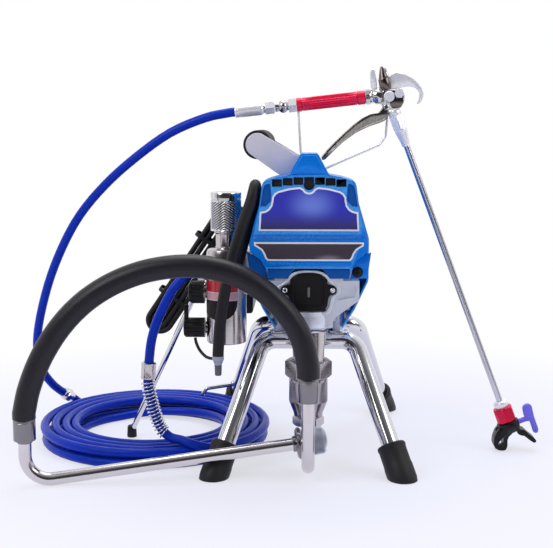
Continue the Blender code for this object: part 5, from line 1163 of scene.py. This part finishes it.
outlet_foot = (-0.1415, -0.112, 0.264)
outlet = hexed("outlet_hexagon", 0.0168, 0.0, 0.0090, outlet_foot, (-1, 0, 0), chamfer=0.0010)
settle(outlet, chrome, "outlet_fitting")
settle(turned("outlet_sleeve", mm((6, 8.5), (7.8, 9.2), (8, 11), (8, 15.5), (7.6, 16.5), (6.6, 16.7)),
              outlet_foot, (-1, 0, 0), 40), chrome)
collar_ends = (Vector((-0.2184, -0.1200, 0.1425)), Vector((-0.2199, -0.1200, 0.1200)))
collar_way = (collar_ends[1] - collar_ends[0]).normalized()
hose_collar = turned("spring_collar", mm((9, 0), (10.2, 0.6), (10.4, 2), (10.1, 3), (10.1, 20), (10.4, 21.2),
                                         (10.2, 22.2), (9.2, 22.6)), collar_ends[0], collar_way, 48)
hose_collar = worked(hose_collar, turned("collar_bore", mm((7.1, -10), (7.1, 40)), collar_ends[0], collar_way, 48))
hose_collar = settle(hose_collar, steel, "guard_collar")
spring_route = mm((-220, -120, 118.5), (-220.2, -120, 113.5), (-217.7, -120, 96.6), (-212.2, -120, 73.5),
                  (-204, -120, 51.5), (-197.5, -120.8, 43.5))
spring_path = smooth(spring_route, 12)
spring_reach = [0.0]
for before, after in zip(spring_path, spring_path[1:]):
    spring_reach.append(spring_reach[-1] + (after - before).length)
curls = []
for step in range(16 * 18 + 1):
    want = spring_reach[-1] * step / (16 * 18)
    spot = next(i for i in range(len(spring_path) - 1) if spring_reach[i + 1] >= want - 1e-9)
    share = (want - spring_reach[spot]) / (spring_reach[spot + 1] - spring_reach[spot])
    slope = (spring_path[min(spot + 4, len(spring_path) - 1)] - spring_path[max(spot - 3, 0)]).normalized()
    across = Vector((0, 1, 0)).cross(slope).normalized()
    angle = 2 * math.pi * step / 18
    curls.append(spring_path[spot].lerp(spring_path[spot + 1], share) + 0.0088 *
                 (math.cos(angle) * across + math.sin(angle) * slope.cross(across)))
hose_spring = settle(bar("kink_spring", curls, 0.00095, 4), chrome, "spring_guard")
joint = turned("coupling_sleeve", mm((7.2, 0.3), (8.2, 0.8), (8.2, 19.5), (7.2, 20)), coupling_ends[0], coupling_way,
               44)
hose_joint = settle(joint, chrome, "hose_coupling")
coupling_nut = settle(hexed("coupling_hexagon", 0.0186, 0.0062, 0.0142, coupling_ends[0], coupling_way, bore=0.0080,
                            chamfer=0.0010), chrome)

# ------------------------------------------------------------------ gun handle and swivel
# The whip is crimped into a bright ferrule, which turns on a swivel behind the red anodised handle. The handle is
# fluted between two smooth collars.

GUN_Y = -0.040
handle_back, handle_front = Vector((-0.0180, GUN_Y, 0.4925)), Vector((0.0772, GUN_Y, 0.5031))
back_way = -handle_way
ferrule_root = handle_back + back_way * 0.0306
ferrule_way = (Vector(whip_route[-1]) - ferrule_root).normalized()
ferrule_long = (Vector(whip_route[-1]) - ferrule_root).length - 0.0003
red = finish("red_anodised", (0.92, 0.012, 0.080), 0.26, 0.25, second=(0.78, 0.008, 0.060), edge_wear_and_highlight=(0.98, 0.22, 0.30),
             grain=900.0, draw_out=(2.0, 1, 1), smudge=0.06, fine=0.08, bump=0.03, slot="red_anodised")
deep_red = finish("deep_red_anodised", (0.70, 0.002, 0.055), 0.24, 0.55, second=(0.56, 0.001, 0.040),
                  edge_wear_and_highlight=(0.95, 0.12, 0.22), grain=900.0, smudge=0.06, fine=0.08, bump=0.03, slot="red_anodised")
pale_metal = finish("satin_metal", (0.93, 0.92, 0.95), 0.28, 0.40, second=(0.86, 0.85, 0.89),
                    edge_wear_and_highlight=(0.98, 0.98, 0.99), grain=700.0, smudge=0.06, fine=0.04, bump=0.01, slot="stainless_steel")
sleeve = crimped("whip_ferrule", 0.0084, ferrule_long - 0.0180, ferrule_root + ferrule_way * 0.0180, ferrule_way,
                 0.0006, 48)
whip_sleeve = settle(sleeve, pale_metal, "hose_ferrule", slot="chrome")
whip_joint = settle(hexed("ferrule_hexagon", 0.0166, 0.0004, 0.0136, ferrule_root, ferrule_way, chamfer=0.0012),
                    pale_metal, slot="chrome")
whip_neck = settle(turned("ferrule_neck", mm((6, 13), (5.8, 14), (6.4, 15.8), (7.8, 18.2)), ferrule_root, ferrule_way,
                          40), chrome)
swivel = hexed("swivel_hexagon", 0.0186, 0.0004, 0.0112, handle_back, back_way, chamfer=0.0012)
settle(swivel, pale_metal, "swivel_nut", body="hose_swivel_nut", slot="chrome")
settle(turned("swivel_ball", mm((6, 10.8), (6.2, 12.8), (7, 14), (8.6, 16), (9.1, 18.5), (8.6, 21.2), (7.2, 23.2),
                                (5.8, 24.4), (6.2, 25.6), (6.4, 29.6), (5.8, 30.2)), handle_back, back_way, 48), steel,
       body="hose_swivel_nut")

handle_long = (handle_front - handle_back).length
settle(knurled("gun_handle_flutes", 0.0093, 0.0080, handle_long - 0.0120, 18, 0.0011, steps=10, sides_each=6,
               foot=handle_back, way=handle_way, ends=0.0006), red, "gun_handle")
for name, start, end in (("gun_handle_tail", 0.0, 0.0074), ("gun_handle_nose", handle_long - 0.0112, handle_long)):
    settle(turned(name, [(0.0086, start), (0.0096, start + 0.0006), (0.0097, start + 0.0016), (0.0097, end - 0.0016),
                         (0.0096, end - 0.0006), (0.0086, end)], handle_back, handle_way, 56), red)
settle(turned("gun_handle_core", [(0.0080, 0.0060), (0.0080, handle_long - 0.0100)], handle_back, handle_way, 40), red)

# ------------------------------------------------------------------ gun body
# Polished steel: a faceted neck, a rounded head with a hexagon plug, a hanging hook, a bullet-shaped end cap, the lock
# lever and a pressed trigger with its guard wire.


def gun_plate(name, outline, half, edge=0.0010, segments=3):
    return softened(plate(name, outline, GUN_Y - half, GUN_Y + half), edge, segments)


polish = finish("polished_steel", (0.66, 0.64, 0.66), 0.13, 1.0, second=(0.55, 0.53, 0.55), edge_wear_and_highlight=(0.88, 0.87, 0.88),
                grain=800.0, smudge=0.08, fine=0.08, bump=0.02, slot="stainless_steel")
smoked = finish("smoked_steel", (0.20, 0.175, 0.17), 0.20, 1.0, second=(0.13, 0.115, 0.11), edge_wear_and_highlight=(0.75, 0.74, 0.74),
                grain=600.0, draw_out=(0.3, 0.3, 2), smudge=0.08, slot="stainless_steel")
neck_start = handle_front + handle_way * 0.0003
settle(turned("gun_neck", mm((9.6, 0), (10.4, 0.8), (10.6, 3), (10.6, 6), (9.4, 7.8), (9, 9.6), (9.8, 12),
                             (11.6, 14.6), (11.8, 21), (10, 28)), neck_start, handle_way, 10), polish)
body_outline = mm((100, 513.2), (118, 514), (129, 511.2), (131.8, 506), (131.2, 496), (126.2, 487.2), (112, 485.8),
                  (104, 485.8), (99, 493.5))
body = softened(plate("gun_body_casting", eased(body_outline, 0.004), GUN_Y - 0.0112, GUN_Y + 0.0112), 0.0026, 4)
body = worked(body, block("trigger_room", (0.0958, GUN_Y - 0.0066, 0.4700), (0.1125, GUN_Y + 0.0066, 0.4900), 0))
settle(body, polish, "gun_body")
lower_face = mm((113, 503), (118, 504.4), (129, 502), (130.4, 496.6), (125.8, 488.6), (115, 487.4), (111.2, 492),
                (111.2, 499))
settle(softened(plate("gun_lower_face", eased(lower_face, 0.002), GUN_Y - 0.0122, GUN_Y - 0.0108), 0.0006), smoked)
settle(hexed("gun_side_plug", 0.0118, 0.0, 0.0060, (0.1236, GUN_Y - 0.0110, 0.5082), (0, -1, 0), chamfer=0.0008),
       pale_metal)
settle(turned("gun_spring_cup", mm((7, 0), (7.4, 0.8), (7.4, 4), (6.2, 5.2)), (0.1098, GUN_Y - 0.0108, 0.5040),
              (0, -1, 0), 40), pale_metal)
settle(turned("gun_side_pin", mm((3.4, 0), (3.4, 1.6), (2.6, 2.2)), (0.1062, GUN_Y - 0.0112, 0.4895), (0, -1, 0), 28),
       chrome)
hook_outline = mm((108, 510.5), (107.2, 523), (109.2, 531.2), (115, 535.5), (120.1, 537.2), (133, 534.5),
                  (143.7, 528.7), (151.2, 522.6), (156, 516), (158.4, 509), (157.8, 502), (154.5, 496), (151.2, 493.2),
                  (149, 494.5), (151.6, 501), (152.4, 508), (150, 513), (145.2, 516.5), (138, 517.8), (129.4, 517),
                  (124, 515), (120, 511))
settle(gun_plate("gun_hook", hook_outline, 0.0036, 0.0015), pale_metal)
cap_foot, cap_way = Vector((0.1068, GUN_Y, 0.5090)), Vector((-0.0078, 0, 0.0362)).normalized()
settle(turned("gun_cap_bullet", mm((5.6, 0), (6.8, 2), (7.8, 6.2), (8.2, 12), (8, 19), (7.4, 20.6), (6.6, 21.6),
                                   (6.4, 22.4), (5.4, 26.2), (3.6, 32), (1.8, 36.2), (0.8, 36.8)),
              cap_foot + Vector((0, -0.0050, 0)), cap_way, 56), smoked, "gun_end_cap")
settle(turned("gun_hook_pin", mm((3.4, 0), (3.6, 24), (2.8, 26.2), (1.4, 31.8), (0.6, 32.6)),
              (0.1110, GUN_Y + 0.0030, 0.5120), cap_way, 36), polish)

lock_outline = mm((86.6, 512.8), (91.6, 512.8), (93.8, 518), (92.6, 528.3), (90.8, 536.5), (90, 540), (88, 541.4),
                  (85.2, 540.8), (83.8, 538), (84, 530), (84.6, 518))
lock = gun_plate("lock_lever_blade", lock_outline, 0.0048, 0.0009)
settle(lock, pale_metal, "trigger_lock", body="lock_lever")

trigger_outline = mm((101.2, 488.4), (107.2, 488.4), (109.2, 480), (108, 474.5), (105, 470.8), (96, 467),
                     (82.9, 462.8), (64.8, 454), (46.7, 440.8), (32, 426.8), (23, 417.6), (19, 415.8), (17.2, 417.2),
                     (17.2, 421), (24, 429.5), (34, 440), (46.6, 452), (61, 465), (74, 474.5), (85, 479.8),
                     (96, 481.5))
warm_steel = finish("warm_steel", (0.30, 0.26, 0.25), 0.22, 1.0, second=(0.22, 0.19, 0.185), edge_wear_and_highlight=(0.92, 0.91, 0.90),
                    grain=500.0, draw_out=(1, 1, 0.3), smudge=0.08, fine=0.06, slot="dark_steel")
trigger = gun_plate("trigger_blade", trigger_outline, 0.0058, 0.0016, 3)
hollow = mm((98.5, 477.5), (104, 476), (102, 473), (82.9, 466.2), (65.5, 457.2), (48, 444.5), (33, 431.5), (34.5, 435),
            (47, 447.5), (62.5, 461), (76, 471), (86, 476))
trigger = worked(trigger, plate("trigger_hollow", hollow, GUN_Y - 0.020, GUN_Y - 0.0036))
settle(softened(trigger, 0.0004, 2, 40), warm_steel, "gun_trigger", body="trigger")
guard_side = GUN_Y + 0.0088
guard_points = bent([(0.1098, guard_side, 0.4857), (0.1072, guard_side, 0.4490), (0.0990, guard_side, 0.4372),
                     (0.0240, GUN_Y, 0.4050), (0.0095, GUN_Y, 0.4020), (-0.0112, GUN_Y, 0.4180),
                     (-0.0152, GUN_Y, 0.4834)], 0.0050, 6)
settle(bar("trigger_guard_wire", guard_points, 0.0017, 5), pale_metal, "trigger_guard", slot="chrome")

# ------------------------------------------------------------------ lance and tip
# A steel extension tube leans down to the right. It ends in a red nut, a black guard with two wings and a violet key
# that turns the spray tip over.

lance_top, lance_way = Vector((0.1366, GUN_Y, 0.4344)), Vector((0.3566, 0.0, -0.9342))
lance_right = Vector((0.9342, 0.0, 0.3566))


def on_lance(along, out=0.0):
    return lance_top + lance_way * along + lance_right * out


settle(turned("lance_nut", mm((8.2, -54), (8.8, -53), (9, -50), (8.8, -47.8), (7.6, -46.6)), lance_top, lance_way, 48),
       pale_metal, slot="chrome")
tube_look = finish("drawn_tube", (0.62, 0.62, 0.71), 0.20, 1.0, second=(0.52, 0.52, 0.60), grain=500.0,
                   draw_out=(0.3, 1, 0.3), smudge=0.06, fine=0.06, bump=0.02, slot="stainless_steel")
settle(hexed("lance_hexagon", 0.0186, -0.0470, -0.0262, lance_top, lance_way, chamfer=0.0014), pale_metal)
settle(turned("lance_taper", mm((9, -26.4), (9.2, -25.2), (9, -22.6), (6.6, -10), (6, -3), (5, -1.6)), lance_top,
              lance_way, 44), pale_metal)
settle(turned("lance_pipe", mm((4.4, -3), (4.5, 0), (4.5, 390), (4.4, 394)), lance_top, lance_way, 40), tube_look,
       "lance_tube")
settle(turned("lance_ring", mm((5.4, 387.6), (8.6, 388.4), (9.8, 389.6), (10.2, 391), (10.2, 395), (9.2, 397.6)),
              lance_top, lance_way, 44), pale_metal)
settle(hexed("tip_nut_hexagon", 0.0262, 0.3978, 0.4196, lance_top, lance_way, spin=38.0, chamfer=0.0030), deep_red,
       "tip_nut")

guard = turned("tip_guard_body", mm((14, 419.8), (15.4, 420.4), (15.8, 421.6), (15.8, 430), (14.6, 434.5),
                                    (11, 436.2)), lance_top, lance_way, 56)
left_wing = mm((273.5, 33), (270, 27.5), (267, 18.8), (266.2, 10), (268.8, 4.2), (274, 1.6), (280, 1.2), (283.8, 2),
               (286.2, 7.5), (286, 17), (288, 22.2), (293, 27), (290, 33))
left_piece = softened(plate("left_wing", eased(left_wing, 0.0016, 3), GUN_Y - 0.0120, GUN_Y + 0.0120), 0.0012, 3)
window = mm((280, 21.5), (272.2, 11.8), (273.8, 8.8), (280.6, 5.8))
left_piece = worked(left_piece, plate("left_window", eased(window, 0.0010, 3), GUN_Y - 0.030, GUN_Y + 0.030))
guard = worked(guard, left_piece, "UNION")
right_wing = mm((299, 33), (300.2, 26.2), (305.1, 23.8), (309.8, 23.2), (316.9, 17.6), (323.6, 13.2), (326.8, 14),
                (327, 16.6), (324.6, 19.6), (316.7, 25.6), (310, 31.8))
right_piece = softened(plate("right_wing", eased(right_wing, 0.0012, 3), GUN_Y - 0.0110, GUN_Y + 0.0110), 0.0012, 3)
right_piece = worked(right_piece, plate("right_window", mm((311, 10), (311, 23.6), (322.5, 20), (322.5, 10)),
                                        GUN_Y - 0.0065, GUN_Y + 0.0065))
guard = worked(guard, right_piece, "UNION")
KEY_ALONG = 0.4260
guard = worked(guard, turned("key_bore", mm((4.8, -20), (4.8, 30)), on_lance(KEY_ALONG), lance_right, 36))
guard = worked(guard, turned("spray_bore", mm((4.2, 424), (4.2, 440)), lance_top, lance_way, 36))
settle(softened(guard, 0.0004, 2, 45), plastic, "tip_guard")

violet = finish("violet_plastic", (0.17, 0.145, 0.78), 0.34, second=(0.14, 0.115, 0.68), edge_wear_and_highlight=(0.36, 0.33, 0.90),
                grain=500.0, smudge=0.08, fine=0.06, bump=0.03, slot="violet_plastic")
key = turned("tip_key_stem", mm((3.8, -13.5), (4.5, -12.8), (4.5, 11), (3.8, 11.8), (3.6, 24), (4.6, 29), (4.6, 30.5)),
             on_lance(KEY_ALONG), lance_right, 44)
settle(key, violet, "tip_key", body="spray_tip_key")
paddle = mm((307.6, 61.6), (309, 65), (311.6, 67.2), (316.1, 68.2), (320, 66.4), (321.6, 61), (324, 51), (328, 40),
            (331, 32.2), (330.8, 26.8), (327.6, 25.2), (324.2, 26.6), (318.9, 41.9), (313, 47), (309.8, 51))
paddle = softened(plate("tip_key_paddle", eased(paddle, 0.0016, 4), GUN_Y - 0.0038, GUN_Y + 0.0038), 0.0012, 3)
eye = mm((326.6, 29.2), (327.6, 29.6), (326.8, 33.4), (325.6, 33))
paddle = worked(paddle, plate("key_eye", eased(eye, 0.0004, 3), GUN_Y - 0.010, GUN_Y + 0.010))
settle(paddle, violet, body="spray_tip_key")
